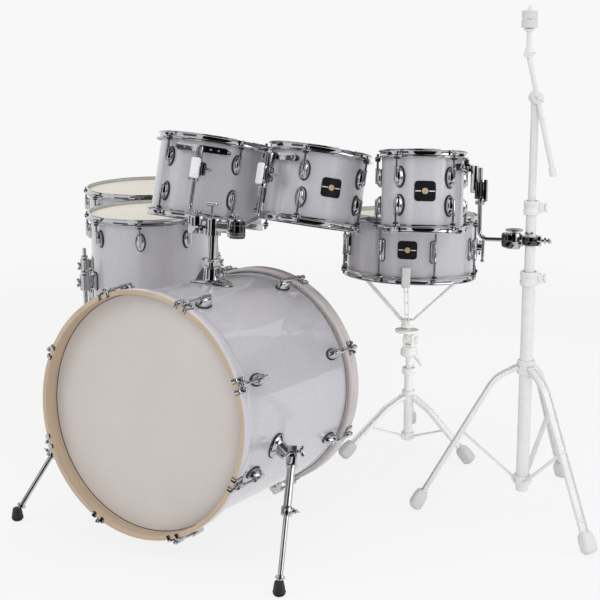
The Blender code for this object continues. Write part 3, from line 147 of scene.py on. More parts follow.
def round_rect(width, height, radius, steps=4):
    points = []
    for quarter, (sx, sy) in enumerate(((1, 1), (-1, 1), (-1, -1), (1, -1))):
        for step in range(steps + 1):
            angle = math.pi / 2 * (quarter + step / steps)
            x = sx * (width / 2 - radius) + radius * math.cos(angle)
            points.append((x, sy * (height / 2 - radius) + radius * math.sin(angle)))
    return points


def divided(outline, longest):
    points = []
    for (ax, ay), (bx, by) in zip(outline, outline[1:] + outline[:1]):
        parts = max(1, math.ceil(math.hypot(bx - ax, by - ay) / longest))
        points += [(ax + (bx - ax) * i / parts, ay + (by - ay) * i / parts) for i in range(parts)]
    return points


def rounded(points, radius, steps=8):
    points = [Vector(point) for point in points]
    path = [points[0]]
    for before, corner, after in zip(points, points[1:], points[2:]):
        back, on = (before - corner).normalized(), (after - corner).normalized()
        half = back.angle(on) / 2
        reach = radius / math.tan(half)
        centre = corner + (back + on).normalized() * radius / math.sin(half)
        first, last = corner + back * reach - centre, corner + on * reach - centre
        sweep = first.angle(last)
        for step in range(steps + 1):
            share = step / steps
            arc = first * math.sin((1 - share) * sweep) + last * math.sin(share * sweep)
            path.append(centre + arc / math.sin(sweep))
    path.append(points[-1])
    return path


def mirrored(profile):
    """A profile's lower half with the upper half that mirrors it."""
    return profile + [(r, -z) for r, z in reversed(profile)]


def band(inner, outer, half, cut, drop):
    """The closed profile of a ring with chamfered outer edges."""
    return mirrored([(inner, -half), (outer - cut, -half), (outer, drop - half)])


class Mesh:
    """Closed bodies gathered for one piece, each skinned over rings of points."""

    def __init__(self):
        self.verts, self.faces, self.slots = [], [], []

    def skin(self, rings, place=Matrix(), slot=0, loop=False, slots=None):
        base, n, last = len(self.verts), len(rings[0]), len(rings) - 1
        slots = slots or [slot] * len(rings)
        for ring in rings:
            self.verts += [place @ Vector(point) for point in ring]
        for row in range(last + 1 if loop else last):
            a, b = base + row * n, base + (row + 1) % len(rings) * n
            self.faces += [(a + i, a + (i + 1) % n, b + (i + 1) % n, b + i) for i in range(n)]
            self.slots += [slots[row]] * n
        if not loop:
            end = base + last * n
            self.faces += [tuple(range(base, base + n))[::-1], tuple(range(end, end + n))]
            self.slots += [slots[0], slots[-1]]

    def turned(self, profile, place=Matrix(), sides=32, slot=0, loop=False, slots=None):
        self.skin([circle(r, sides, z) for r, z in profile], place, slot, loop, slots)

    def tube(self, path, radius, sides=16, place=Matrix(), bevel=0.6, slot=0, flat=1, across=None):
        points = [Vector(point) for point in path]
        end = len(points) - 1
        radii = radius if isinstance(radius, list) else [radius] * len(points)
        rings, side = [], Vector(across) if across else None
        for i, (point, r) in enumerate(zip(points, radii)):
            along = (points[min(i + 1, end)] - points[max(i - 1, 0)]).normalized()
            side = side or along.orthogonal()
            side = (side - along * side.dot(along)).normalized()
            other = along.cross(side)
            shifts = [(0, r)]
            if i == 0:
                shifts = [(0, r - bevel), (bevel, r)]
            if i == end:
                shifts = [(-bevel, r), (0, r - bevel)]
            for shift, wide in shifts:
                spot = point + along * shift
                rings.append([spot + side * x + other * y * flat for x, y, _ in circle(wide, sides)])
        self.skin(rings, place, slot)

    def rod(self, start, end, radius, sides=20, place=Matrix(), bevel=0.6, slot=0):
        self.tube([start, end], radius, sides, place, bevel, slot)

    def block(self, size, place=Matrix(), bevel=1.2, corner=2, steps=4):
        width, height, depth = size
        rings = []
        for z, inset in ((0, bevel), (0.3 * bevel, 0.3 * bevel), (bevel, 0)):
            outline = round_rect(width - 2 * inset, height - 2 * inset, max(corner - inset, 0.2), steps)
            rings.append([(x, y, z - depth / 2) for x, y in outline])
        self.skin(rings + [[(x, y, -z) for x, y, z in ring] for ring in reversed(rings)], place)

    def plate(self, outline, thickness, place=Matrix(), bevel=0.5):
        small = 1 - bevel * 0.06
        levels = ((0, small), (bevel, 1), (thickness - bevel, 1), (thickness, small))
        self.skin([[(x * scale, y * scale, z) for x, y in outline] for z, scale in levels], place)

    def strap(self, path, width, thickness, across, place=Matrix(), corner=0.8):
        points = [Vector(point) for point in path]
        across = Vector(across).normalized()
        outline = round_rect(width, thickness, min(corner, thickness / 2.1), 2)
        rings = []
        for before, point, after in zip(points[:1] + points, points, points[1:] + points[-1:]):
            up = (after - before).normalized().cross(across).normalized()
            rings.append([point + across * x + up * y for x, y in outline])
        self.skin(rings, place)

    def dome(self, half, height, place=Matrix(), sides=28, root=0):
        """An oval that swells from its foot and closes over, its height along Z."""
        levels = [(1, -root)] if root else []
        for share in (0, 0.1, 0.25, 0.42, 0.58, 0.72, 0.84, 0.93, 1):
            levels.append((max((1 - share ** 2.4) ** 0.5, 0.16), share * height))
        wide, long = half
        self.skin([[(x * wide, y * long, z) for x, y, _ in circle(scale, sides)] for scale, z in levels], place)

    def wing(self, place, half, radius, rise):
        """A wing screw: its stem along the place's Z and its two lobes along X."""
        self.rod((0, 0, -0.4 * rise), (0, 0, 0.75 * rise), radius, 16, place)
        self.dome((radius * 1.55, radius * 1.55), rise * 0.55, place @ move(0, 0, rise * 0.55), 16)
        for side in (half, -half):
            path = [(side * x, 0, rise * z) for x, z in ((0, 0.75), (0.5, 0.9), (0.85, 1.15), (1, 1.3))]
            self.tube(path, [radius * r for r in (0.9, 1.25, 1.3, 0.8)], 12, place, flat=0.5, across=(0, 0, 1))

    def handle(self, place, half, radius, rise):
        """A T handle with rounded ends on a stem."""
        self.rod((0, 0, -0.4 * rise), (0, 0, rise), radius * 0.9, 16, place)
        radii = [radius * share for share in (0.8, 1.25, 1.4, 1.25, 0.8)]
        self.tube([(half * x, 0, rise) for x in (-1, -0.9, 0, 0.9, 1)], radii, 16, place, 1)


def linked(name, data):
    """A new object in the scene."""
    obj = bpy.data.objects.new(name, data)
    bpy.context.scene.collection.objects.link(obj)
    return obj


def piece(name, mesh, materials, place=Matrix(), node=None, body=None, slot=None, sharp=38):
    """Makes the object of a mesh, lets it ride on its body and stand for its CAD node."""
    square = axes(place.translation, place.col[2].xyz)
    change = square.inverted() @ place
    square.translation *= MM
    data = bpy.data.meshes.new(name)
    data.from_pydata([change @ vert * MM for vert in mesh.verts], [], mesh.faces)
    data.polygons.foreach_set("material_index", mesh.slots)
    for made in materials:
        data.materials.append(made)
    bm = bmesh.new()
    bm.from_mesh(data)
    bmesh.ops.recalc_face_normals(bm, faces=bm.faces)
    bm.to_mesh(data)
    bm.free()
    data.shade_smooth()
    data.set_sharp_from_angle(angle=math.radians(sharp))
    obj = linked(name, data)
    obj.matrix_world = square
    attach(obj, body or frame["nodes"][node]["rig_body"])
    if node:
        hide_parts(node)
    slot = slot or SLOTS.get(materials[0])


def look(node, mesh, material, place=Matrix()):
    piece(node + "_look", mesh, [material], place, node)


def fitting(name, mesh, material, body, place=Matrix(), sharp=38):
    piece(name, mesh, [material], place, body=body, sharp=sharp)


# Materials.


class Nodes:
    """A node tree, with the calls that fill it."""

    def __init__(self, tree):
        self.tree = tree

    def fill(self, node, inputs):
        for key, value in inputs.items():
            node.inputs[key.replace("_", " ")].default_value = value
        return node

    def node(self, kind, **inputs):
        return self.fill(self.tree.nodes.new(kind), inputs)

    def link(self, out, into):
        self.tree.links.new(out, into)

    def seen_rays(self):
        """1 for the rays that show the background: camera, mirror and glass rays."""
        rays = self.node("ShaderNodeLightPath")
        value = rays.outputs["Is Camera Ray"]
        for name in ("Is Glossy Ray", "Is Transmission Ray"):
            either = self.node("ShaderNodeMath")
            either.operation = "MAXIMUM"
            self.link(value, either.inputs[0])
            self.link(rays.outputs[name], either.inputs[1])
            value = either.outputs[0]
        return value


class Shader(Nodes):
    """A node material with its Principled shader and the few nodes that give its detail."""

    def __init__(self, name, colour, roughness, metallic=0.0, **sockets):
        self.made = bpy.data.materials.new(name)
        self.made.use_nodes = True
        super().__init__(self.made.node_tree)
        self.bsdf = self.tree.nodes["Principled BSDF"]
        self.fill(self.bsdf, {"Base_Color": (*colour, 1), "Roughness": roughness, "Metallic": metallic, **sockets})

    def space(self, scale=(1, 1, 1)):
        """The piece's own coordinates, stretched."""
        coordinates, mapping = self.node("ShaderNodeTexCoord"), self.node("ShaderNodeMapping")
        mapping.inputs["Scale"].default_value = scale
        self.link(coordinates.outputs["Object"], mapping.inputs["Vector"])
        return mapping.outputs["Vector"]

    def noise(self, scale, space=None, detail=3.0, rough=0.6):
        node = self.node("ShaderNodeTexNoise", Scale=scale, Detail=detail, Roughness=rough)
        self.link(space or self.space(), node.inputs["Vector"])
        return node.outputs["Fac"]

    def ramp(self, value, stops):
        node = self.node("ShaderNodeValToRGB")
        for stop, (place, colour) in zip(node.color_ramp.elements, stops):
            stop.position, stop.color = place, (*colour, 1)
        for place, colour in stops[2:]:
            node.color_ramp.elements.new(place).color = (*colour, 1)
        self.link(value, node.inputs["Fac"])
        return node.outputs["Color"]

    def mix(self, share, a, b):
        node = self.tree.nodes.new("ShaderNodeMix")
        node.data_type = "RGBA"
        for socket, value in zip((node.inputs[0], node.inputs[6], node.inputs[7]), (share, a, b)):
            if isinstance(value, bpy.types.NodeSocket):
                self.link(value, socket)
            elif isinstance(value, tuple):
                socket.default_value = (*value, 1)
            else:
                socket.default_value = value
        return node.outputs[2]

    def colour(self, socket):
        self.link(socket, self.bsdf.inputs["Base Color"])

    def shade(self, value, dark, light):
        self.colour(self.ramp(value, [(0.3, dark), (0.7, light)]))

    def roughness(self, value, low, high):
        node = self.node("ShaderNodeMapRange", From_Min=0.3, From_Max=0.7, To_Min=low, To_Max=high)
        self.link(value, node.inputs["Value"])
        self.link(node.outputs["Result"], self.bsdf.inputs["Roughness"])

    def bump(self, height, strength, distance=0.0002):
        node = self.node("ShaderNodeBump", Strength=strength, Distance=distance)
        self.link(height, node.inputs["Height"])
        self.link(node.outputs["Normal"], self.bsdf.inputs["Normal"])


def wrap():
    """Silver-lilac sparkle lacquer: fine metal flakes under a clear coat."""
    s = Shader("sparkle_wrap", (0.49, 0.48, 0.51), 0.42, 0.15, Coat_Weight=1.0, Coat_Roughness=0.03, Coat_IOR=1.5)
    cells = s.node("ShaderNodeTexVoronoi", Scale=900.0)
    s.link(s.space(), cells.inputs["Vector"])
    split = s.node("ShaderNodeSeparateColor")
    s.link(cells.outputs["Color"], split.inputs["Color"])
    flakes = s.ramp(split.outputs["Red"], [(0.0, (0.45, 0.44, 0.47)), (0.55, (0.52, 0.51, 0.545)),
                                           (0.9, (0.58, 0.57, 0.605)), (1.0, (0.82, 0.81, 0.85))])
    cloud = s.ramp(s.noise(5.0, detail=2.0), [(0.3, (0.49, 0.48, 0.505)), (0.7, (0.555, 0.54, 0.575))])
    s.colour(s.mix(0.5, flakes, cloud))
    s.bump(split.outputs["Green"], 0.06, 0.0001)
    return s.made


def plywood():
    s = Shader("shell_ply", (0.44, 0.27, 0.15), 0.45, Coat_Weight=0.2)
    plies = s.noise(1.0, s.space((40, 40, 900)), 2.0)
    s.shade(plies, (0.36, 0.21, 0.11), (0.52, 0.34, 0.19))
    s.bump(plies, 0.15)
    return s.made


def wood(name, dark, light, line, coat):
    """Hoop wood whose grain runs round the hoop."""
    s = Shader(name, light, 0.42, Coat_Weight=coat, Coat_Roughness=0.18)
    grain = s.noise(1.0, s.space((9, 9, 520)), 5.0, 0.65)
    broad = s.noise(1.0, s.space((4, 4, 70)), 2.0)
    base = s.ramp(broad, [(0.3, dark), (0.72, light)])
    s.colour(s.mix(s.ramp(grain, [(0.56, (0, 0, 0)), (0.72, (0.55, 0.55, 0.55))]), base, line))
    s.roughness(grain, 0.36, 0.52)
    s.bump(grain, 0.12)
    return s.made


def film(name, dark, light, roughness, grit):
    """A drum head: clouded film with the fine grit of its coating."""
    s = Shader(name, light, roughness, Specular_IOR_Level=0.35)
    s.shade(s.noise(7.0, detail=4.0), dark, light)
    speckle = s.noise(1800.0, detail=2.0)
    s.roughness(speckle, roughness - 0.08, roughness + 0.06)
    s.bump(speckle, grit, 0.0001)
    return s.made


def metal(name, dark, light, roughness, blur=0.03):
    """Plated metal, with faint unevenness in its polish."""
    s = Shader(name, light, roughness, 1.0)
    cloud = s.noise(60.0, detail=3.0)
    s.shade(cloud, dark, light)
    s.roughness(s.noise(240.0, detail=4.0), roughness, roughness + blur)
    s.bump(s.noise(420.0, detail=2.0), 0.03, 0.0001)
    return s.made


def painted(name, dark, light, roughness, metallic):
    """Pale powder coat with a soft sheen."""
    s = Shader(name, light, roughness, metallic)
    s.shade(s.noise(30.0, detail=3.0), dark, light)
    grit = s.noise(900.0, detail=2.0)
    s.roughness(grit, roughness, roughness + 0.1)
    s.bump(grit, 0.08, 0.0001)
    return s.made


def rubber(name="black_rubber_and_painted_shadow", dark=(0.012, 0.012, 0.013), light=(0.03, 0.03, 0.032), roughness=0.55,
           **sockets):
    s = Shader(name, light, roughness, **sockets)
    grit = s.noise(900.0, detail=3.0)
    s.shade(grit, dark, light)
    s.roughness(grit, roughness - 0.06, roughness + 0.12)
    s.bump(grit, 0.2)
    return s.made


def felt():
    s = Shader("pale_felt", (0.62, 0.62, 0.62), 0.95, Sheen_Weight=0.3)
    fibres = s.noise(700.0, detail=5.0, rough=0.75)
    s.shade(fibres, (0.52, 0.52, 0.52), (0.7, 0.7, 0.7))
    s.bump(fibres, 0.5, 0.0006)
    return s.made


WRAP, PLY, FELT = wrap(), plywood(), felt()
MAPLE = wood("maple_hoop", (0.45, 0.34, 0.235), (0.54, 0.425, 0.31), (0.37, 0.265, 0.17), 0.25)
PALE = wood("pale_hoop", (0.51, 0.47, 0.455), (0.6, 0.56, 0.545), (0.44, 0.39, 0.36), 0.6)
COATED = film("coated_head", (0.73, 0.69, 0.6), (0.77, 0.73, 0.64), 0.7, 0.25)
FRONT = film("front_head", (0.555, 0.512, 0.484), (0.585, 0.542, 0.514), 0.5, 0.08)
CHROME = metal("chrome", (0.47, 0.475, 0.485), (0.56, 0.565, 0.58), 0.04)
DARK = metal("dark_chrome", (0.075, 0.075, 0.08), (0.12, 0.12, 0.125), 0.09)
ALLOY = metal("flesh_hoop_alloy", (0.55, 0.55, 0.56), (0.66, 0.66, 0.67), 0.28)
BRASS = painted("grommet_brass", (0.55, 0.38, 0.22), (0.66, 0.49, 0.31), 0.3, 0.35)
SATIN = painted("satin_plate", (0.76, 0.77, 0.77), (0.84, 0.85, 0.85), 0.35, 0.1)
# Black rubber, which on the bass drum's heads also draws a painted shadow of the hoop round the film's edge.
RUBBER_AND_PAINTED_SHADOW = rubber()
# Darkened steel for the tension rods' shafts: steel, with the shade they stand in painted into their colour.
ROD_STEEL_PAINTED_SHADE = metal("rod_steel_painted_shade", (0.22, 0.22, 0.23), (0.32, 0.32, 0.33), 0.16)
STAND = painted("stand_metal", (0.68, 0.68, 0.68), (0.73, 0.73, 0.73), 0.25, 0.0)
# The snare stand has the cymbal stand's finish, drawn paler to paint out the shade that the drums cast on it:
# painted light.
SNARE_STAND_PAINTED_LIGHT = painted("snare_stand_metal_painted_light", (0.9, 0.9, 0.89), (0.94, 0.94, 0.93), 0.25, 0.0)
PALE_RUBBER = rubber("stand_rubber", (0.6, 0.6, 0.6), (0.66, 0.66, 0.66), 0.6)
PLAQUE = rubber("badge_enamel", (0.008, 0.008, 0.009), (0.014, 0.014, 0.016), 0.22, Specular_IOR_Level=0.18)
TRIM = painted("badge_trim", (0.66, 0.66, 0.65), (0.78, 0.78, 0.76), 0.4, 0.0)
SLOTS = {WRAP: "shell_wrap", COATED: "coated_head", MAPLE: "maple_hoop", PALE: "pale_hoop",
         **dict.fromkeys((STAND, SNARE_STAND_PAINTED_LIGHT, FELT), "stand_metal"),
         **dict.fromkeys((CHROME, DARK, SATIN, ALLOY), "chrome")}


# Drums.


def lug_angles(name):
    _, _, _, count, first = DRUMS[name]
    return [first + 360 * i / count for i in range(count)]


def build_shell(name):
    radius, depth, wall, *_ = DRUMS[name]
    half, inner = depth / 2, radius - wall
    edge = wall - 4
    profile = [(radius, half - 4), (radius, 4 - half), (radius - 3.6, -half), (radius - 4.4, -half),
               (inner, edge - half), (inner, half - edge), (radius - 4.4, half), (radius - 3.6, half)]
    mesh = Mesh()
    mesh.turned(profile, sides=160, loop=True, slots=[0] + [1] * 7)
    piece(name + "_shell_look", mesh, [WRAP, PLY], FRAMES[name], name + "_shell", slot="shell_wrap")


def lug(metal_mesh, gasket, place, stand, rod_x, barrel):
    """One lug: a gasket, an oval dome and the barrel that the rod screws into. X points away from the shell."""
    long, wide = 24.2, 12.5
    outward = place @ OUT
    levels = ((-3, 2.2), (1.6, 2.7), (3, 1.6))
    gasket.skin([[(x * (long + grow), y * (wide + grow), z) for x, y, _ in circle(1, 36)] for z, grow in levels],
                outward)
    outward = outward @ move(0, 0, 2.2)
    metal_mesh.dome((long, wide), stand, outward, root=3)
    levels = ((0.55, 0.62), (0.9, 0.6), (0.99, 0.46))
    rings = [[(x * long, y * wide * 0.72, stand * z) for x, y, _ in circle(scale, 28)] for z, scale in levels]
    metal_mesh.skin(rings, outward)
    top = long + 1
    profile = [(barrel * 0.72, -long * 0.62), (barrel, -long * 0.52), (barrel, top - 5.2),
               (barrel + 0.8, top - 4.2), (barrel + 0.8, top - 1.2), (barrel * 0.8, top)]
    metal_mesh.turned(profile, place @ move(rod_x, 0, 0), 20)


def build_lugs(name, body, stand=16.5, rod_x=ROD_OUT, barrel=5.2):
    radius, depth, *_ = DRUMS[name]
    chrome, gasket = Mesh(), Mesh()
    for angle in lug_angles(name):
        for flip in (Matrix(), FLIP):
            place = turn(angle) @ move(radius, 0, 0) @ flip @ move(0, 0, depth / 2 - LUG_IN)
            lug(chrome, gasket, place, stand, rod_x, barrel)
    fitting(name + "_lugs", chrome, CHROME, body, FRAMES[name])
    fitting(name + "_lug_gaskets", gasket, RUBBER_AND_PAINTED_SHADOW, body, FRAMES[name])


def build_head(name, node, place, film_material, slot, piece_name=None):
    """Film with its rounded collar, crimped into an alloy flesh hoop."""
    radius, depth, *_ = DRUMS[name]
    top = film_top(depth)
    profile = [(-radius / 2, 0.8), (1.2, 1), (1.4, 8.8), (4.3, 8.8), (4.4, 2.2), (4, 0.8), (2.2, 0.3), (-0.8, 0),
               (-radius / 2, 0)]
    # On the bass drum's heads the top of the collar, where the film meets the hoop, takes the black rubber: a
    # painted shadow of the hoop.
    edge = 2 if name == "bass" else 0
    mesh = Mesh()
    mesh.turned([(radius + r, top - z) for r, z in profile], sides=160, slots=[0, 0, 1, 1, 1, edge, edge, 0])
    body = None if node else BODY_OF[name]
    piece(piece_name or node + "_look", mesh, [film_material, ALLOY, RUBBER_AND_PAINTED_SHADOW], place, node, body, slot)


def tension_rod(mesh, spot, end):
    """A hoop's ear with its washer, key rod and shaft down to the lug."""
    outline = [(-4.6, -12), (0, -9.5), *(polar(7.8, d).xy for d in range(-75, 76, 15)), (0, 9.5), (-4.6, 12)]
    mesh.plate(outline, 2.6, spot @ move(0, 0, 0.4), 0.4)
    mesh.turned([(7, 2.8), (7, 4.8), (6, 5.6)], spot, 20, 1)
    mesh.turned([(5.4, 5.4), (5.8, 6), (5.8, 6.8), (4.2, 7.4)], spot, 20)
    mesh.block((6.2, 6.2, 7), spot @ turn(20) @ move(0, 0, 10.6), 0.8, 0.8, 2)
    mesh.turned([(6, -5.2), (6.6, -4.6), (6.6, -0.4), (5.2, 0.6)], spot, 20, 1)
    # The shaft takes the darkened rod steel, a painted shade under the hoop.
    mesh.rod((0, 0, 2), (0, 0, end), 3, 16, spot, 0.3, 2)


def build_hoop(name, flipped, rod_end):
    """A triple-flanged steel hoop, with an ear and a key rod at each lug."""
    radius, depth, *_ = DRUMS[name]
    low = film_top(depth) - 9
    top, seat = HALF[name], film_top(depth) + 0.15
    profile = [(3.6, top), (8.6, top), (9.6, top - 0.6), (9.8, top - 1.6), (9.2, top - 2.6), (6.6, top - 3.4),
               (5.8, top - 5), (5.6, low + 8.2), (6.2, low + 6.2), (8, low + 5), (8.6, low + 4), (12, low + 3.2),
               (13.2, low + 2.4), (13.2, low + 0.8), (12.4, low), (4.8, low), (4.8, seat), (2.9, seat),
               (2.9, top - 0.8)]
    mesh = Mesh()
    mesh.turned([(radius + r, z) for r, z in profile], sides=160, loop=True)
    for angle in lug_angles(name):
        tension_rod(mesh, turn(-angle if flipped else angle) @ move(radius + ROD_OUT, 0, low), rod_end - low)
    node = name + ("_resonant_hoop" if flipped else "_batter_hoop")
    place = FRAMES[name] @ FLIP if flipped else FRAMES[name]
    piece(node + "_look", mesh, [CHROME, RUBBER_AND_PAINTED_SHADOW, ROD_STEEL_PAINTED_SHADE], place, node)


def build_badge(name, angle, height=0):
    """A plain enamelled plate round the shell's air vent, with a thin pale line and a metal grommet."""
    radius = DRUMS[name][0]

    def wrapped(outline, lift, scale=1):
        return [polar(radius + lift, math.degrees(x * scale / radius), y * scale + height) for x, y in outline]

    mesh, line, grommet = Mesh(), Mesh(), Mesh()
    outline = divided(round_rect(52, 49, 9, 5), 4)
    levels = ((-2, 1), (0.8, 1), (1.3, 0.98), (1.3, 0.75), (1.3, 0.45), (1.3, 0.15))
    mesh.skin([wrapped(outline, lift, scale) for lift, scale in levels])
    for side in (1, -1):
        corners = [(side * x, y) for x, y in ((9.5, -1), (23.5, -1), (23.5, 1), (9.5, 1))]
        line.skin([wrapped(corners, lift) for lift in (0.6, 1.8)])
    profile = [(1.6, 2), (2, 3.2), (5, 3.6), (7, 3), (7.8, 1.4), (7.8, -1)]
    grommet.turned(profile, move(radius, 0, height) @ OUT, 32)
    place, body = FRAMES[name] @ turn(angle), BODY_OF[name]
    fitting(name + "_badge", mesh, PLAQUE, body, place, 25)
    fitting(name + "_badge_line", line, TRIM, body, place, 25)
    fitting(name + "_vent_grommet", grommet, BRASS, body, place)


for name in ("tom_12", "tom_10", "tom_8", "floor_tom_14", "floor_tom_16", "snare"):
    build_shell(name)
    rod_end = 30
    if name != "snare":
        build_lugs(name, BODY_OF[name])
        rod_end = DRUMS[name][1] / 2 - ROD_DEEP
    build_head(name, name + "_batter_head", FRAMES[name], COATED, "coated_head")
    build_head(name, None, FRAMES[name] @ FLIP, FRONT, "chrome", name + "_resonant_film")
    build_hoop(name, False, rod_end)
    build_hoop(name, True, rod_end)
build_badge("tom_10", 321)
build_badge("tom_8", 252)
build_badge("snare", 292.5, 4)
build_badge("floor_tom_14", 241, 5)


# The bass drum.


def claw(chrome, pad, place):
    """A claw that hooks over the hoop's front edge, with the key rod through its barrel."""
    for y in (12.5, -12.5):
        path = rounded([(2.4, y, -28), (2.4, y, 1.6), (-9.5, y, 1.6)], 3, 5)
        chrome.strap(path, 9.5, 3.2, (0, 1, 0), place)
        chrome.dome((5, 5.2), 4.2, place @ move(2.8, y, -23.5) @ OUT, 18)
        pad.strap([(x - 1.8, y, z - (1.4 if x < 1 else 0)) for x, y, z in path], 10.3, 1.4, (0, 1, 0), place)
    chrome.plate(round_rect(15, 31, 6), 3, place @ move(1, 0, -19.5) @ OUT, 0.6)
    profile = [(4.5, -30), (6, -28.5), (6.4, -13), (5.8, -11.2), (5.8, -10), (6.6, -9.2), (6.6, -5), (5.2, -4.2)]
    chrome.turned(profile, place @ move(7.5, 0, 0), 20)
    chrome.block((5.8, 5.8, 6.6), place @ turn(15) @ move(7.3, -1.8, -1.8), 0.6, 0.8, 2)


def wood_hoop(node, place, material, groove):
    """A wooden hoop with its claws: a dark line in its groove, or else an inlay of the wrap round it."""
    back, out = WOOD_BACK, WOOD_OUT
    front = back + HOOP_DEPTH
    inner, r = BASS_R + 0.4, 2.6
    profile = [(inner, back + 1), (inner + 1, back), (out - r, back), (out - 0.3 * r, back + 0.3 * r),
               (out, back + r)]
    if groove:
        z = back + 9.5
        profile += [(out, z - 1), (out - 1.4, z - 0.5), (out - 1.4, z + 0.5), (out, z + 1)]
    profile += [(out, front - r), (out - 0.3 * r, front - 0.3 * r), (out - r, front), (inner + r, front),
                (inner + 0.3 * r, front - 0.3 * r), (inner, front - r)]
    slots = [0] * len(profile)
    if groove:
        slots[6] = 1
    else:
        slots[4] = 2
    mesh, chrome, pad = Mesh(), Mesh(), Mesh()
    mesh.turned(profile, sides=200, loop=True, slots=slots)
    piece(node + "_look", mesh, [material, RUBBER_AND_PAINTED_SHADOW, WRAP], place, node)
    for angle in lug_angles("bass"):
        spot = turn(angle) @ move(out, 0, front)
        claw(chrome, pad, spot)
        chrome.rod((9, 0, BASS_DEPTH / 2 - ROD_DEEP - front), (8.2, 0, -29), 3.1, 16, spot)
    fitting(node + "_claws", chrome, CHROME, "kit", place)
    fitting(node + "_claw_pads", pad, RUBBER_AND_PAINTED_SHADOW, "kit", place)


BASS = FRAMES["bass"]
build_shell("bass")
build_lugs("bass", "kit", 22.5, 21, 6)
build_head("bass", "bass_front_head", BASS, FRONT, "front_head")
build_head("bass", "bass_batter_head", BASS @ FLIP, COATED, "coated_head")
wood_hoop("bass_front_hoop", BASS, MAPLE, False)
wood_hoop("bass_batter_hoop", BASS @ FLIP, PALE, True)


def rubber_foot(name, place, body):
    """A rubber foot with a broad toe and faint flutes up its side."""
    profile = [(10.8, 0.2), (14, 4), (14.8, 8.5), (13.8, 9.8), (12.8, 19), (11.2, 27), (10.4, 31.2), (8.8, 32)]
    rings = []
    for level, (r, z) in enumerate(profile):
        depth = 0.6 if 2 < level < len(profile) - 1 else 0
        rings.append([polar(r - (0 if i % 4 else depth), 9 * i, z) for i in range(40)])
    mesh = Mesh()
    mesh.skin(rings, place)
    fitting(name, mesh, RUBBER_AND_PAINTED_SHADOW, body)


def build_spur(side, name):
    """A folding spur: round base on the shell, clamp block, tube, collar, inner rod and rubber foot."""
    hinge = Vector((side * HINGE_AT.x, HINGE_AT.y, HINGE_AT.z))
    foot = Vector((side * 385, -277, 19.2))
    down = (foot - hinge).normalized()
    angle = -12.4 if side > 0 else 192.4
    slope = math.radians(-12.4)
    outward = Vector((side * math.cos(slope), 0, math.sin(slope)))
    pin = (outward - down * outward.dot(down)).normalized()
    name = "spur_" + name

    base, gasket, leg, rod = Mesh(), Mesh(), Mesh(), Mesh()
    root = BASS @ turn(angle) @ move(BASS_R, 0, 100) @ OUT
    gasket.turned([(29, -6), (31, -4), (31, 1.2), (29.6, 2.4)], root, 48)
    base.turned([(28.5, -4), (29, 3), (27, 6.2), (21.5, 9.2), (17, 13), (15, 18)], root, 48)
    start, end = Vector((0, 0, 8)), root.inverted() @ KIT @ (hinge - pin * 10.8)
    base.tube([start, start.lerp(end, 0.5), end], [17.5, 16.5, 15], 28, root, 1)
    fitting(name + "_base", base, CHROME, "kit")
    fitting(name + "_base_gasket", gasket, RUBBER_AND_PAINTED_SHADOW, "kit")

    place = KIT @ axes(hinge, pin, down)
    leg.turned([(13, -9.8), (14.6, -8.4), (14.8, 7), (13.6, 9.6), (10, 10.4)], place, 32)
    leg.block((48, 25, 23), place @ move(2, 0, 1.2), 3, 5.5)
    leg.turned([(12.2, 26), (12.2, 28.5), (10.8, 30), (9.5, 30.5)], place @ OUT, 28)
    profile = [(9.4, 24), (9.4, 117.5), (12, 118), (13.2, 119.5), (13.4, 136), (12.2, 138.4), (6.8, 138.6)]
    leg.turned(profile, place @ OUT, 32)
    leg.block((10, 16, 16), place @ move(128, 0, 12.5), 1.6)
    leg.wing(place @ move(128, 0, 18) @ turn(90), 10.5, 3, 7)
    leg.wing(place @ move(-10, 0, 12.5) @ turn(35), 12.5, 3.6, 10.5)
    look(name + "_tube", leg, CHROME)

    up = KIT @ axes(foot, -down, pin)
    rod.rod((0, 0, 10), (0, 0, (foot - hinge).length - 83), 6.3, 28, up)
    rod.turned([(10, 16), (11.2, 17.2), (11.2, 22.2), (9.5, 23.6), (6.6, 24)], up, 28)
    look(name + "_rod", rod, CHROME)
    rubber_foot(name + "_foot_rubber", KIT @ move(foot.x, foot.y, 0), name + "_foot")


build_spur(-1, "left")
build_spur(1, "right")


# The tom mount, its post and the double holder.


def screw(mesh, place, radius=4.2):
    """A round-headed screw with a square recess."""
    mesh.turned([(radius, 0), (radius, 1.2), (radius * 0.8, 2.4), (radius * 0.5, 2.8)], place, 20)
    mesh.block((radius * 0.7, radius * 0.7, 1), place @ move(0, 0, 2.8), 0.2, 0.3, 1)


def sag(x):
    """How far the bass shell's top has dropped at a distance to its side."""
    return BASS_R - math.sqrt(BASS_R ** 2 - x ** 2)


POST = BASS @ axes((0, BASS_R, -10), (0, 1, 0), (1, 0, 0))


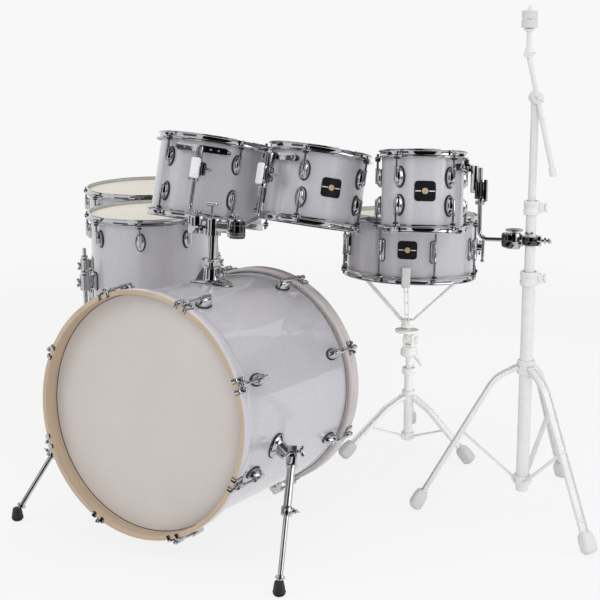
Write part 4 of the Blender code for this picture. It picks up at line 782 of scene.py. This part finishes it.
def build_mount():
    """A domed oval plate on the shell's top with a finned socket for the post."""
    plate, rim, post, ring = Mesh(), Mesh(), Mesh(), Mesh()
    for mesh, levels in (
        (rim, ((1, -16), (1, 0.8), (0.985, 1.8))),
        (plate, ((0.985, -14), (0.985, 2), (0.96, 3.6), (0.88, 5.2), (0.7, 6.4), (0.46, 8.4))),
    ):
        rings = []
        for scale, z in levels:
            oval = [(x * 59 * scale, y * 39 * scale) for x, y, _ in circle(1, 64)]
            rings.append([(x, y, z - sag(x) if z > 0 else z - 2) for x, y in oval])
        mesh.skin(rings)
    socket = [(23.5, 4), (22.2, 8), (20.5, 12), (20, 34), (21.2, 35), (21.2, 38.8), (20.2, 40), (13.2, 40)]
    plate.turned(socket, sides=40)
    outline = [(-44, 3), (-40, 3), (-18, 3), (-18, 36), (-23, 34.5), (-35, 18)]
    levels = ((-7, 0.94), (-5.5, 1), (5.5, 1), (7, 0.94))
    plate.skin([[(-28 + (x + 28) * scale, y, 17 + (z - 17) * scale) for x, z in outline] for y, scale in levels])
    plate.block((16, 18, 26), move(23.5, 0, 25), 2, 3)
    plate.wing(axes((31, 0, 27), (1, 0, 0.25), (0, 0.35, 1)), 13, 3.4, 9.5)
    for x, y in ((44, 12), (-30, 24), (22, 26)):
        for side in (y, -y):
            screw(plate, move(x, side, 4.2 - sag(x)))
    piece("tom_mount_look", plate, [CHROME], POST, "tom_mount_base")
    fitting("tom_mount_rim", rim, RUBBER_AND_PAINTED_SHADOW, "kit", POST)
    post.turned([(11.5, -110), (12.6, -108.8), (12.6, 149), (11.8, 149.8)], sides=40)
    look("tom_post", post, CHROME, POST)
    ring.turned([(12.9, 50.8), (19, 50.8), (19.4, 51.7), (19.4, 58.3), (18.6, 59.1), (12.9, 59.1)], sides=36)
    ring.block((12, 14, 8), move(-21.5, 0, 55))
    ring.rod((-22.5, -10, 55), (-22.5, 8.5, 55), 2.2, 14)
    fitting("post_memory_ring", ring, CHROME, "post", POST)


build_mount()


def socket_piece(mesh, dark, start, ringed):
    """The upright split barrel that an arm turns in, with its wing screw."""
    place = axes(start, HOLDER.col[2].xyz, HOLDER.col[0].xyz) @ move(0 if ringed else -5, 0, 4)
    r = 18.6 if ringed else 22.4
    profile = [(r - 6, -24.5), (r - 0.8, -23.8), (r, -22.4), (r, -1), (r - 0.8, -0.4), (r - 0.8, 0.4), (r, 1),
               (r, 18), (r - 1.2, 19.6), (r - 6, 20.6), (5, 20.6)]
    mesh.turned(profile, place, 48)
    if ringed:
        shifted = place @ move(6, 0, 0)
        ring = [(11, -27), (18, -26.6), (20, -24.5), (20.6, -18), (20.6, 8), (19.6, 15), (12, 18)]
        dark.turned(ring, shifted, 40)
        for z in (-19, -13, 6):
            mesh.turned([(20.4, z - 0.8), (21, z), (20.4, z + 0.8)], shifted, 40)
    mesh.block((12, 10, 30), place @ move(0, r - 1, 0), 1.6)
    mesh.wing(place @ move(0, 0, 20), 11, 3.2, 9)


def arm_rod(name, angle, rise):
    """The frame of the upright end of a tom's arm, where the bracket grips it."""
    base = FRAMES[name]
    return axes(base @ polar(DRUMS[name][0] + ARM_OUT, angle, rise), base.col[2].xyz, base.col[0].xyz)


def build_arm(name, angle, rise, drop, start, inside=36):
    """An L-shaped rod from a socket up to a drum's bracket, and the bracket."""
    rod = arm_rod(name, angle, rise)
    elbow = rod @ Vector((0, 0, -drop))
    level = (elbow - start).normalized()
    mesh = Mesh()
    mesh.tube(rounded([start - level * inside, elbow, rod @ Vector((0, 0, 56))], 20, 10), 5.25, 24, bevel=1)
    look(name + "_arm", mesh, CHROME)
    build_bracket(name, angle, rise)
    return level


def build_bracket(name, angle, rise):
    """A curved bar hung on two tension rods, with the clamp that grips the arm in its middle."""
    radius, depth, _, count, _ = DRUMS[name]
    half = 0.66 * 180 / count
    gap = ROD_OUT + 4
    inner = radius + gap
    bar_z = depth / 2 - 28
    bar, dark, plate = Mesh(), Mesh(), Mesh()
    extra = math.degrees(8.5 / inner)
    rings, steps = [], 26
    for step in range(steps + 1):
        share = step / steps
        a = angle - half - extra + share * 2 * (half + extra)
        edge = min(share, 1 - share) * 2 * (half + extra) / extra
        high = 8.8 * math.sqrt(max(0.06, 1 - max(0, 1 - edge) ** 2))
        section = ((0.2, -1), (2.6, -1), (3, -0.8), (3, 0.8), (2.6, 1), (0.2, 1), (0, 0.8), (0, -0.8))
        rings.append([polar(inner + x, a, bar_z + y * high) for x, y in section])
    bar.skin(rings)
    for side in (-half, half):
        place = turn(angle + side) @ move(radius, 0, bar_z) @ OUT
        dark.turned([(8.2, -2), (8.2, 12), (7.4, 14), (7.4, gap + 0.4)], place, 24)
        dark.turned([(5.8, gap + 2), (5.8, gap + 4.2), (4.6, gap + 4.8)], place, 24)
        bar.dome((3.6, 3.6), 2.6, place @ move(0, 0, gap + 4.6), 16)
        for share in (0.36, 0.64):
            bar.dome((3, 3), 2, turn(angle + side * share) @ move(inner + 2.8, 0, bar_z) @ OUT, 16)

    small = name == "tom_8"
    at = turn(angle) @ move(radius + ARM_OUT, 0, rise)
    web = ARM_OUT - gap - 7
    bar.block((web, 16.5, abs(bar_z - rise) + 11.2), at @ move(-web / 2 - 6, 0, (bar_z - rise) / 2), 1.6, 3)
    dark.block((11, 27.2, 42), at @ move(-6.2, 0, 0), 1.8, 4)
    (dark if small else bar).block((12.5, 27.2, 41.5), at @ move(5.4, 0, 0), 2.2, 4.5)
    rings = []
    for x, inset in ((11, 0), (15, 0), (16.4, 0.8), (16.8, 2.2)):
        outline = round_rect(23 - 2 * inset, 54 - 2 * inset, 5, 5)
        rings.append([(x, y * (1 + 0.16 * math.cos(z / 26 * math.pi / 2)), z) for y, z in outline])
    (dark if small else plate).skin(rings, at)
    for z in (-12.5, 12.5):
        bar.rod((-12.2, 9.8, z), (12.8, 9.8, z), 2.6, 14, at)
    bar.turned(band(5.6, 11.4, 5, 0.6, 0.8), at @ move(0, 0, -29.5), 32, loop=True)
    bar.rod((0, -16, -29.5), (0, -9, -29.5), 2.8, 14, at)
    reach = 13
    if not small:
        reach = 24
        dark.block((19, 11, 34), at @ move(-3, 18.5, 0), 1.8, 3)
        for z in (-11, 11):
            bar.rod((-3, 23.8, z), (-3, 26.2, z), 4, 12, at)
    bar.rod((-4, reach + 5, 0), (-4, reach, 0), 6.2, 18, at)
    bar.wing(at @ move(-4, reach + 4, 0) @ Matrix.Rotation(-math.pi / 2, 4, "X"), 11.5, 3.4, 7.5)
    look(name + "_bracket", bar, CHROME, FRAMES[name])
    fitting(name + "_bracket_clamp", dark, DARK, name + "_drum", FRAMES[name])
    if not small:
        fitting(name + "_bracket_plate", plate, SATIN, name + "_drum", FRAMES[name])


HOLDER_LOW = -33.7
BAR_Z = HOLDER_LOW + 22
HOLDER = POST @ move(0, 0, 150)


def build_holder():
    mesh, dark = Mesh(), Mesh()
    profile = [(13.2, 0), (18.6, 0), (19.4, 1), (19.4, 10), (18.6, 10.8), (18.6, 33), (19.4, 33.8), (19.4, 40),
               (17.6, 43), (12, 44)]
    mesh.turned(profile, HOLDER @ move(0, 0, HOLDER_LOW), 40)
    mesh.block((104, 18.6, 24.6), HOLDER @ move(10, 0, BAR_Z), 2.6, 4)
    mesh.handle(HOLDER @ move(-6, 0, HOLDER_LOW + 42), 16.5, 4.4, 35)
    for name, angle, rise, drop, x in (("tom_12", 324, 20, 106, -44), ("tom_10", 252, 10, 112, 64)):
        start = HOLDER @ Vector((x, 0, BAR_Z))
        build_arm(name, angle, rise, drop, start)
        socket_piece(mesh, dark, start, name == "tom_10")
    look("tom_holder", mesh, CHROME)
    fitting("tom_holder_ring", dark, DARK, "holder")


build_holder()


# The cymbal stand, its boom and the clamp for the smallest tom.


def collar(mesh, place, radius, z, height=34):
    """A tube clamp: a split collar round the outer tube's end."""
    r, h = radius + 6.4, height / 2
    profile = [(radius + 0.8, -h), (r - 1, -h), (r, 1.2 - h), (r, -h * 0.35), (r - 1.2, -h * 0.25)]
    mesh.turned(mirrored(profile), place @ move(0, 0, z), 32, loop=True)


def collar_bolt(mesh, place, radius, z):
    """The lug of a tube clamp with its bolt and wing nut."""
    at = place @ turn(30) @ move(radius, 0, z)
    mesh.block((14, 20, 22), at @ move(9, 0, 0), 1.6, 3)
    mesh.wing(at @ move(14, 0, 0) @ OUT, 11, 3.2, 8)


def thumb_screw(mesh, place, radius, z):
    """The height screw on the player's side of a tube clamp."""
    at = place @ axes((0, radius + 4.5, z), (0, 1, 0), (0, 0, 1))
    mesh.block((24, 14, 10), at, 1.6, 3)
    mesh.wing(at @ move(0, 0, 4), 12, 3.4, 10)


def stand_foot(pads, place, angle, foot, slope):
    """A chunky rubber foot in line with its leg, its toe cut flat to the floor."""
    along = axes(foot, slope, polar(1, angle + 90))
    rings = []
    for r, s in ((8, -16), (15, -10), (16.3, -4), (16.3, 16), (14.5, 28), (10.5, 35)):
        ring = [along @ Vector((x, y, s)) for x, y in round_rect(2.15 * r, 2 * r, r * 0.55)]
        rings.append([(point.x, point.y, max(point.z, 0.2)) for point in ring])
    pads.skin(rings, place)


def foot_leg(mesh, pads, place, angle, radius, reach, hub_z, low_z):
    """One tripod leg: two side straps and the web between them, with a brace, on a rubber foot."""
    across = polar(1, angle + 90)
    hub, foot = polar(radius + 4, angle, hub_z), polar(reach, angle, 19.2)
    bow = polar(radius + 60, angle, hub_z - 30)
    path = rounded([hub, bow, foot], 80)
    for side in (-10, 10):
        mesh.strap([point + across * side for point in path], 2.6, 10.5, across, place)
    mesh.strap(path, 19, 2, across, place)
    brace = bow.lerp(foot, 0.42)
    mesh.strap([polar(radius + 2, angle, low_z), brace], 13, 4.4, across, place)
    for point in (brace, hub + polar(4, angle), polar(radius + 8, angle, low_z), foot.lerp(bow, 0.16)):
        mesh.rod(point - across * 12.5, point + across * 12.5, 3.2, 14, place)
    stand_foot(pads, place, angle, foot, bow - foot)


def build_tripod(node, place, radius, bottom, top, hub_z, low_z, reach, first):
    mesh, pads = Mesh(), Mesh()
    tall = node == "stand_base"
    half = (top - bottom) / 2
    mesh.turned(band(radius - 2.4, radius, half, 1, 1), place @ move(0, 0, bottom + half), 36, loop=True)
    for z, height in ((top, 34 if tall else 18), (hub_z, 34), (low_z, 20.4)):
        collar(mesh, place, radius, z, height)
    for angle in (first, first + 120, first + 240):
        foot_leg(mesh, pads, place, angle, radius, reach, hub_z, low_z)
    thumb_screw(mesh, place, radius, top)
    if tall:
        collar_bolt(mesh, place, radius, top)
    # The snare stand's tripod takes the paler copy of the finish, painted light against the drums' shade.
    look(node, mesh, STAND if tall else SNARE_STAND_PAINTED_LIGHT)
    fitting(node + "_feet", pads, PALE_RUBBER, "kit")


STAND_AT = KIT @ move(695, 390, 0)
SNARE_AT = KIT @ move(255.5, 641.7, 0)
build_tripod("stand_base", STAND_AT, 16, 60, 610, 385, 90, 265, -154)
build_tripod("snare_stand_base", SNARE_AT, 12.7, 28, 236, 160, 40, 200, -127)


def build_boom_stand():
    middle, top, boom, felts = Mesh(), Mesh(), Mesh(), Mesh()
    middle.turned([(11.1, 430), (12.6, 431), (12.6, 784), (11.1, 785)], STAND_AT, 32)
    for made in (collar, thumb_screw, collar_bolt):
        made(middle, STAND_AT, 12.7, 785)
    look("stand_middle_tube", middle, STAND)

    tilter = Vector((0, 0, 1050))
    lean = Vector((-0.2, -0.14, 0))
    pin = Vector((0, 0, 1)).cross(lean).normalized()
    top.turned([(8, 640), (9.4, 641), (9.4, 1020), (10.2, 1022), (10.2, 1038), (8.8, 1042)], STAND_AT, 28)
    head = STAND_AT @ axes(tilter, pin, (0, 0, 1))
    top.turned([(13, -9.8), (14.8, -8.4), (14.8, 7.8), (13.8, 9.8), (6, 9.8)], head, 36)
    for step in range(18):
        top.block((6.2, 1.4, 1), head @ turn(step * 20) @ move(11, 0, 9.8), 0.3, 0.3, 1)
    top.wing(head @ FLIP @ move(0, 0, 8.5), 12, 3.4, 9.5)
    look("stand_top_tube", top, STAND)

    place = STAND_AT @ axes(tilter + pin * 18.5, pin, lean + Vector((0, 0, 1)))
    boom.turned(mirrored([(13.4, -7.8), (14.8, -6.6)]), place, 36)
    boom.tube([(-190, 0, 0), (105, 0, 0)], 6.1, 24, place, 1)
    boom.turned(mirrored([(7.2, -10), (8.4, -9)]), place @ move(-182, 0, 0) @ OUT, 24)
    boom.wing(place @ move(0, 0, 6.6) @ turn(40), 12.5, 3.4, 10)
    seat_at = place @ Vector((105, 0, 0))
    seat = axes(seat_at, (0, 0, 1), (1, 0, 0))
    boom.turned(mirrored([(8.6, -9.2), (9.4, -8)]), seat @ Matrix.Rotation(math.pi / 2, 4, "X"), 28)
    boom.turned([(9.2, 0), (8.8, 10), (6, 14), (6, 52), (12, 54), (13, 58.5), (6, 60), (3.4, 60), (3.4, 100),
                 (3.4, 110), (2.6, 111.8)], seat, 28)
    boom.turned([(3.6, 100.6), (7.2, 100.8), (7.2, 103), (5.2, 105), (3.6, 105.5)], seat, 12)
    boom.wing(axes(seat_at + Vector((0, 9, 0)), (0.2, 1, 0), (1, 0, 0.3)), 11, 3, 8.5)
    look("boom_arm", boom, STAND)
    felts.turned([(4, 60.2), (17.6, 60.2), (18.8, 61.4), (18.8, 79), (17.6, 80.2), (4, 80.2)], seat, 36)
    felts.turned([(4, 81.2), (17.2, 81.2), (18.4, 82.4), (18.4, 99), (16.6, 100.4), (4, 100.4)], seat, 36)
    fitting("boom_felts", felts, FELT, "boom")


build_boom_stand()


def build_clamp():
    angle, rise, drop = 324, 6, 118
    elbow = arm_rod("tom_8", angle, rise) @ Vector((0, 0, -drop))
    axis = STAND_AT @ Vector((0, 0, elbow.z))
    towards = (elbow - axis).normalized()
    start = axis + towards * 41.5
    level = build_arm("tom_8", angle, rise, drop, start, 19.4)
    mesh, dark = Mesh(), Mesh()
    at = axes(axis, (0, 0, 1), towards)
    dark.turned(band(13.1, 19.4, 10.5, 0.8, 1.1), at, 36, loop=True)
    mesh.block((13, 20, 25), at @ move(-20, 0, 0), 2.2, 4)
    mesh.block((12, 20, 30), at @ move(24, 0, 0), 2.2, 4)
    bolt = at @ move(-22, 0, 0) @ IN
    mesh.rod((0, 0, 0), (0, 0, 23.5), 4, 18, bolt)
    mesh.turned([(6, 10), (7.8, 10.5), (7.8, 15), (6, 15.6)], bolt, 6)
    mesh.handle(bolt @ turn(90), 16.5, 3.4, 23.5)
    mesh.wing(at @ move(4, 12.5, 13.5), 10, 2.8, 6)
    place = axes(start, (0, 0, 1), level)
    profile = [(11, -20.5), (17.6, -19.8), (18.8, -18), (18.8, -7), (17.8, -6.4), (17.8, -5.2), (18.8, -4.6),
               (18.8, 17), (17.6, 18.6), (12, 19)]
    mesh.turned(profile, place, 48)
    dark.turned([(10, -17), (17.8, -16.5), (19.6, -13), (20.2, 0), (19.6, 13), (17.8, 16.5), (10, 17)],
                place @ move(8.5, 0, 0), 40)
    mesh.tube([(x * 19, y * 9.5, 0) for x, y, _ in circle(1, 24) + circle(1, 1)], 2.6, 12, place @ move(-2, 0, 25))
    mesh.rod((-2, 0, 15), (-2, 0, 26.2), 4.6, 16, place)
    mesh.block((34, 5, 2.4), place @ move(-2, 0, 25.2), 0.6, 1)
    look("stand_clamp", mesh, CHROME)
    fitting("stand_clamp_socket", dark, DARK, "clamp")


build_clamp()


# Floor tom legs.


def build_legs(name):
    radius, depth, *_ = DRUMS[name]
    out = 34
    blocks, pads = Mesh(), Mesh()
    for number, angle in enumerate((-105, 30, 165), 1):
        at = turn(angle) @ move(radius, 0, 115 - depth / 2)
        barrel = at @ move(out, 0, 0)
        pads.plate(round_rect(56, 39, 12, 5), 3, at @ move(-1.6, 0, 0) @ OUT, 0.4)
        blocks.plate(round_rect(50, 35, 10, 5), 8, at @ move(0.8, 0, 0) @ OUT, 1.2)
        blocks.block((24, 20, 40), at @ move(19, 0, 0), 2.4, 5)
        blocks.turned(band(6.8, 14.8, 24, 1.3, 1.5), barrel, 32, loop=True)
        for z in (-10.5, 10.5):
            blocks.turned(mirrored([(14.6, -3), (15.2, -2.4)]), barrel @ move(0, 0, z), 32)
        blocks.wing(barrel @ move(10, 0, 0) @ OUT, 12.5, 3.4, 10)
        spot = (FRAMES[name] @ barrel).translation
        foot = polar(30, angle, -spot.z)
        start = Matrix.Translation(spot) @ turn(-16.5)
        leg = Mesh()
        path = rounded([(0, 0, 60), (0, 0, foot.z + 110), foot + Vector((0, 0, 19.2))], 40)
        leg.tube(path, 5.95, 24, bevel=1.2)
        leg.turned(band(6.2, 10.8, 4.3, 0.4, 0.8), move(0, 0, 30.5), 28, loop=True)
        leg.rod((4, 0, 30.5), (15.5, 0, 30.5), 2.6, 12)
        node = f"{name}_leg_{number}"
        look(node, leg, CHROME, start)
        rubber_foot(node + "_rubber", Matrix.Translation(start @ foot), node + "_rod")
    fitting(name + "_leg_brackets", blocks, CHROME, "kit", FRAMES[name])
    fitting(name + "_leg_bracket_pads", pads, RUBBER_AND_PAINTED_SHADOW, "kit", FRAMES[name])


build_legs("floor_tom_14")
build_legs("floor_tom_16")


# The snare drum's own fittings and its stand.


def pad(mesh, place, width, height, corner, levels):
    """A rounded pad that stands off along X, its outline grown by a margin at each level."""
    rings = []
    for x, grow in levels:
        outline = round_rect(width + 2 * grow, height + 2 * grow, corner + grow, 5)
        rings.append([(x, y, z) for y, z in outline])
    mesh.skin(rings, place)


def build_snare():
    radius, depth, *_ = DRUMS["snare"]
    drum = FRAMES["snare"]
    chrome, gasket, plates, lever, wires = (Mesh() for _ in range(5))
    for angle in lug_angles("snare"):
        at = turn(angle) @ move(radius, 0, 0)
        pad(gasket, at, 17, 60, 8, ((-3, 1.2), (1, 1.2), (1.6, 0)))
        pad(chrome, at, 16.6, 59, 7.8, ((-2, 0), (3, 0), (5.8, -0.6), (8, -2), (9.2, -4)))
        bar = mirrored([(3.8, -30), (5.4, -28.8), (5.4, -21), (4.4, -19.6)])
        chrome.turned(bar, at @ move(ROD_OUT, 0, 0), 20)
        for z in (-20, 20):
            chrome.rod((6, 0, z), (13.5, 0, z), 4.2, 16, at)
    fitting("snare_lugs", chrome, CHROME, "snare_drum", drum)
    fitting("snare_lug_gaskets", gasket, RUBBER_AND_PAINTED_SHADOW, "snare_drum", drum)

    at, back = (turn(angle) @ move(radius - 3.6, 0, 0) for angle in (22.5, 202.5))
    plates.block((13, 22.5, 49), at @ move(7, 0, 0), 2.2, 4)
    plates.block((4, 16, 30), at @ move(12.2, 0, 6), 1)
    plates.turned([(5, -3), (6.2, -2.2), (6.2, 6), (5.2, 6.8)], at @ move(6.5, 0, -26.5) @ FLIP, 20)
    plates.rod((6, 13, 14), (6, -13, 14), 3, 16, at)
    barrel = [(3, -40), (5.6, -39.6), (5.6, -33), (3.4, -32.2), (3.4, -27), (4.6, -26.2), (4.6, 25), (3.4, 25.8),
              (3.4, 30), (5.4, 30.6), (5.4, 34.6), (4, 35.2)]
    plates.turned(barrel, at @ move(27.6, -16.5, 0), 24)
    plates.block((28, 8, 20), at @ move(14.6, -15, 0))
    plates.block((10, 23, 21), back @ move(6.2, 0, 28.5 - depth / 2), 1.8, 3)
    for y in (-6, 6):
        screw(plates, back @ move(11, y, 30 - depth / 2) @ OUT, 3)
    fitting("snare_strainer", plates, CHROME, "snare_drum", drum)

    place = drum @ axes(polar(radius + 14.96, 22.5, -19), polar(1, 112.5), polar(1, 22.5))
    lever.rod((0, 0, -7.8), (0, 0, 7.8), 3, 20, place)
    path = [(0, 2.5, 0), (0, -10, 0), (0.4, -22, 0), (0.2, -33, 0), (-0.4, -36.6, 0)]
    lever.strap(path, 14.2, 3.6, (0, 0, 1), place, 1.6)
    lever.rod((2.2, -33.5, -6.6), (2.2, -33.5, 6.6), 2.2, 14, place)
    look("snare_lever", lever, CHROME)

    strands = drum @ move(0, 0, -film_top(depth) - 1.6) @ turn(22.5)
    for side in (142, -142):
        wires.block((15.5, 43.5, 1.4), strands @ move(side, 0, -0.9), 0.3)
    for number in range(20):
        path = []
        for step, (x, y) in enumerate([(1, 0), (0, 1), (-1, 0), (0, -1)] * 28 + [(1, 0)]):
            path.append((268 * step / 112 - 134, (number / 19 - 0.5) * 40 + 0.35 * x, 0.35 * y - 0.9))
        wires.tube(path, 0.38, 5, strands, 0.1)
    look("snare_wires", wires, ALLOY)


build_snare()


def build_snare_stand():
    # The snare stand's tube and basket take the paler copy of the stand finish: painted light against the drums'
    # shade.
    tube, basket, pads = Mesh(), Mesh(), Mesh()
    pivot_z, neck_z = 330, 303
    head = SNARE_AT @ move(0, 0, pivot_z)
    tube.turned([(8, 120), (9.4, 121), (9.4, neck_z), (8.4, neck_z + 1)], SNARE_AT, 28)
    tube.block((30, 15, 12), SNARE_AT @ move(0, 0, neck_z + 4), 1.6, 3)
    for side, facing in ((1, OUT), (-1, IN)):
        tube.block((44, 23, 6.6), head @ move(side * 11.8, 0, -7.5) @ OUT, 1.2, 10)
        tube.turned([(10.5, -0.6), (11.2, 0), (11.2, 1), (10, 1.8)], head @ move(side * 15, 0, 0) @ facing, 24)
    tube.wing(head @ move(16.5, 0, 0) @ OUT, 12, 3.4, 8)
    tube.turned([(11, 278), (19, 279), (21.8, 282), (23.5, 292), (22.5, 301), (18, 306), (11, 308)], SNARE_AT, 36)
    for z in (285, 291, 297):
        tube.turned(mirrored([(22.2, -1.4), (24.6, -0.8)]), SNARE_AT @ move(0, 0, z), 36)
    tube.tube([(18, -8, 286), (34, -14, 276), (50, -19, 262)], [4.4, 4.8, 4], 14, SNARE_AT)
    look("snare_stand_tube", tube, SNARE_STAND_PAINTED_LIGHT)

    drum, hub_z = FRAMES["snare"], -227.6
    hub = drum @ move(0, 0, hub_z)
    pivot = head.translation
    side = Vector((7.8, 0, 0))
    basket.rod(pivot - side, pivot + side, 14.6, 36, bevel=1.2)
    basket.rod(pivot, hub.translation, 6.9, 24)
    basket.turned([(12, -11.8), (16.5, -11.2), (17.8, -9.6), (17.8, -4), (14, -2), (14, 3), (17.8, 4.6), (17.8, 10),
                   (16, 11.8), (7.2, 12)], hub, 32)
    basket.turned([(10, -26.2), (33, -25.6), (34.5, -24), (34.5, -19), (33, -17.6), (10, -17)], hub, 40)
    for angle in (20, 110, 200, 290):
        basket.tube([(12, 0, -7.5), (17.5, 0, -7.5)], 3.6, 12, hub @ turn(angle), 0.8)
    under, seat = -HALF["snare"], 7 * INCH + 13.5
    path = ((10, 0, hub_z), (seat * 0.86, 0, under - 16), (seat + 8.5, 0, under - 4.2))
    low, bend, tip = (Vector(point) for point in path)
    for angle in (-67.5, 52.5, 172.5):
        at = drum @ turn(angle)
        for side in (Vector((0, -4.8, 0)), Vector((0, 4.8, 0))):
            basket.strap(rounded([low + side, bend + side, tip + side], 30, 6), 3, 6, (0, 1, 0), at)
        for share in (0.28, 0.62, 0.92):
            spot, side = low.lerp(bend, share), Vector((0, 6.8, 0))
            basket.rod(spot - side, spot + side, 2.6, 12, at)
        at = at @ move(seat + 0.6, 0, under - 0.3)
        pads.block((9, 23, 54), at @ move(4.8, 0, 21.5), 2.2, 3.5)
        pads.block((15.5, 19, 5.4), at @ move(3, 0, -3.1))
        for step in range(4):
            pads.block((1.2, 18.5, 2.2), at @ move(8.8, 0, step * 5 - 1), 0.4, 0.4, 1)
    look("snare_basket", basket, SNARE_STAND_PAINTED_LIGHT)
    fitting("snare_basket_pads", pads, PALE_RUBBER, "snare_drum")


build_snare_stand()


# The studio.

BACKDROP = (0.938, 0.938, 0.938, 1)


def build_floor():
    floor = Mesh()
    floor.turned([(6.0, -0.0016), (6.0, -0.0006)], sides=96)
    data = bpy.data.meshes.new("floor")
    data.from_pydata(floor.verts, [], floor.faces)
    obj = linked("floor", data)
    s = Shader("studio_floor", (0.9, 0.9, 0.9), 0.6, Specular_IOR_Level=0.2)
    s.shade(s.noise(3.0), (0.885, 0.885, 0.885), (0.9, 0.9, 0.9))
    clear, blend = s.node("ShaderNodeBsdfTransparent"), s.node("ShaderNodeMixShader")
    coordinates, distance = s.node("ShaderNodeTexCoord"), s.node("ShaderNodeVectorMath")
    distance.operation = "LENGTH"
    fade = s.node("ShaderNodeMapRange", From_Min=1.3, From_Max=3.2)
    fade.interpolation_type = "SMOOTHSTEP"
    glow = s.node("ShaderNodeEmission", Color=BACKDROP, Strength=1.0)
    share, lit = s.node("ShaderNodeMath"), s.node("ShaderNodeMixShader")
    share.operation = "MULTIPLY"
    share.inputs[1].default_value = 0.88
    for out, into in (
        (coordinates.outputs["Object"], distance.inputs[0]), (distance.outputs["Value"], fade.inputs["Value"]),
        (fade.outputs["Result"], blend.inputs[0]), (s.seen_rays(), share.inputs[0]),
        (share.outputs[0], lit.inputs[0]), (s.bsdf.outputs[0], lit.inputs[1]), (glow.outputs[0], lit.inputs[2]),
        (lit.outputs[0], blend.inputs[1]), (clear.outputs[0], blend.inputs[2]),
        (blend.outputs[0], s.tree.nodes["Material Output"].inputs["Surface"]),
    ):
        s.link(out, into)
    data.materials.append(s.made)


def lamp(name, place, target, size, power, mirrored_too=False):
    light = bpy.data.lights.new(name, "AREA")
    light.shape = "RECTANGLE"
    light.size, light.size_y = size
    light.energy = power
    made = linked(name, light)
    made.matrix_world = axes(place, Vector(place) - Vector(target), (0, 0, 1) if place[2] < 3 else (1, 0, 0))
    made.visible_glossy = mirrored_too


def panel(name, place, target, size, tone, up=(0, 0, 1), narrow=1):
    """A cloth studio panel that only reflections see, so that chrome has its dark and grey bands."""
    mesh = bpy.data.meshes.new(name)
    w, h = size[0] / 2, size[1] / 2
    mesh.from_pydata([(-w, -h * narrow, 0), (w, -h, 0), (w, h, 0), (-w, h * narrow, 0)], [], [(0, 1, 2, 3)])
    made = linked(name, mesh)
    facing = Vector(target) - Vector(place)
    made.matrix_world = axes(place, facing, Vector(up).cross(facing))
    made.visible_camera = made.visible_diffuse = made.visible_shadow = made.visible_transmission = False
    cloth = Shader(name + "_cloth", (tone, tone, tone), 0.9, Specular_IOR_Level=0.0)
    cloth.shade(cloth.noise(40.0), (tone * 0.8,) * 3, (tone * 1.2,) * 3)
    mesh.materials.append(cloth.made)


def studio():
    scene = bpy.context.scene
    scene.view_settings.view_transform = "Standard"
    scene.world = bpy.data.worlds.new("studio")
    scene.world.use_nodes = True
    w = Nodes(scene.world.node_tree)
    w.tree.nodes.clear()
    out, pick = w.node("ShaderNodeOutputWorld"), w.node("ShaderNodeMixShader")
    ambient = w.node("ShaderNodeBackground", Color=(0.93, 0.94, 0.96, 1), Strength=0.62)
    shown = w.node("ShaderNodeBackground", Color=BACKDROP, Strength=1.0)
    for number, value in enumerate((w.seen_rays(), ambient.outputs[0], shown.outputs[0])):
        w.link(value, pick.inputs[number])
    w.link(pick.outputs[0], out.inputs[0])
    build_floor()

    lamp("key", (-2.2, -3.4, 3.4), (0, 0, 0.4), (2.6, 2.6), 54)
    lamp("top", (0.2, 0.4, 3.8), (0, 0.1, 0.3), (2.6, 2.6), 37)
    lamp("side", (3.6, 0.4, 2.0), (0, 0.1, 0.5), (1.6, 2.2), 30, True)
    lamp("fill", (3.0, -3.4, 1.4), (0.1, 0.1, 0.5), (2.0, 2.0), 56)

    walls = ((-57, 58, 6.6, 0.01), (-114, 30, 3.0, 0.16), (0, 30, 3.0, 0.16), (-168, 26, 3.0, 0.02),
             (54, 26, 3.0, 0.02), (118, 26, 3.0, 0.08))
    for number, (bearing, width, high, tone) in enumerate(walls):
        far, middle = 5.2, high / 2 + 0.1
        span = 2 * far * math.tan(math.radians(width / 2))
        panel(f"panel_{number}", polar(far, bearing, middle), (0, 0, middle), (span, high), tone)
    for number, x in enumerate((0.444, -0.326)):
        foot = Vector((x, -0.65, 0.003))
        bearing = math.degrees(math.atan2(-2.63 - foot.y, 1.68 - foot.x))
        panel(f"panel_floor_{number}", foot + polar(1.2, bearing), foot + polar(1.2, bearing, 1), (2.4, 2.4), 0.02,
              polar(1, bearing + 90), 0.01)
    panel("panel_ceiling", (0.6, -0.6, 5.5), (0.6, -0.6, 0), (6.5, 6.5), 0.12, (0, 1, 0))

    camera = bpy.data.cameras.new("camera")
    camera.lens, camera.sensor_width = 69.5, 36
    camera.shift_x, camera.shift_y = -0.0415, -0.105
    camera.clip_start, camera.clip_end = 0.05, 60
    eye = linked("camera", camera)
    eye.location = (Vector((1622, -2255, 1255)) + SHIFT) * MM
    eye.rotation_euler = (math.radians(90 - 11.13), 0, math.radians(29.57))
    scene.camera = eye


studio()
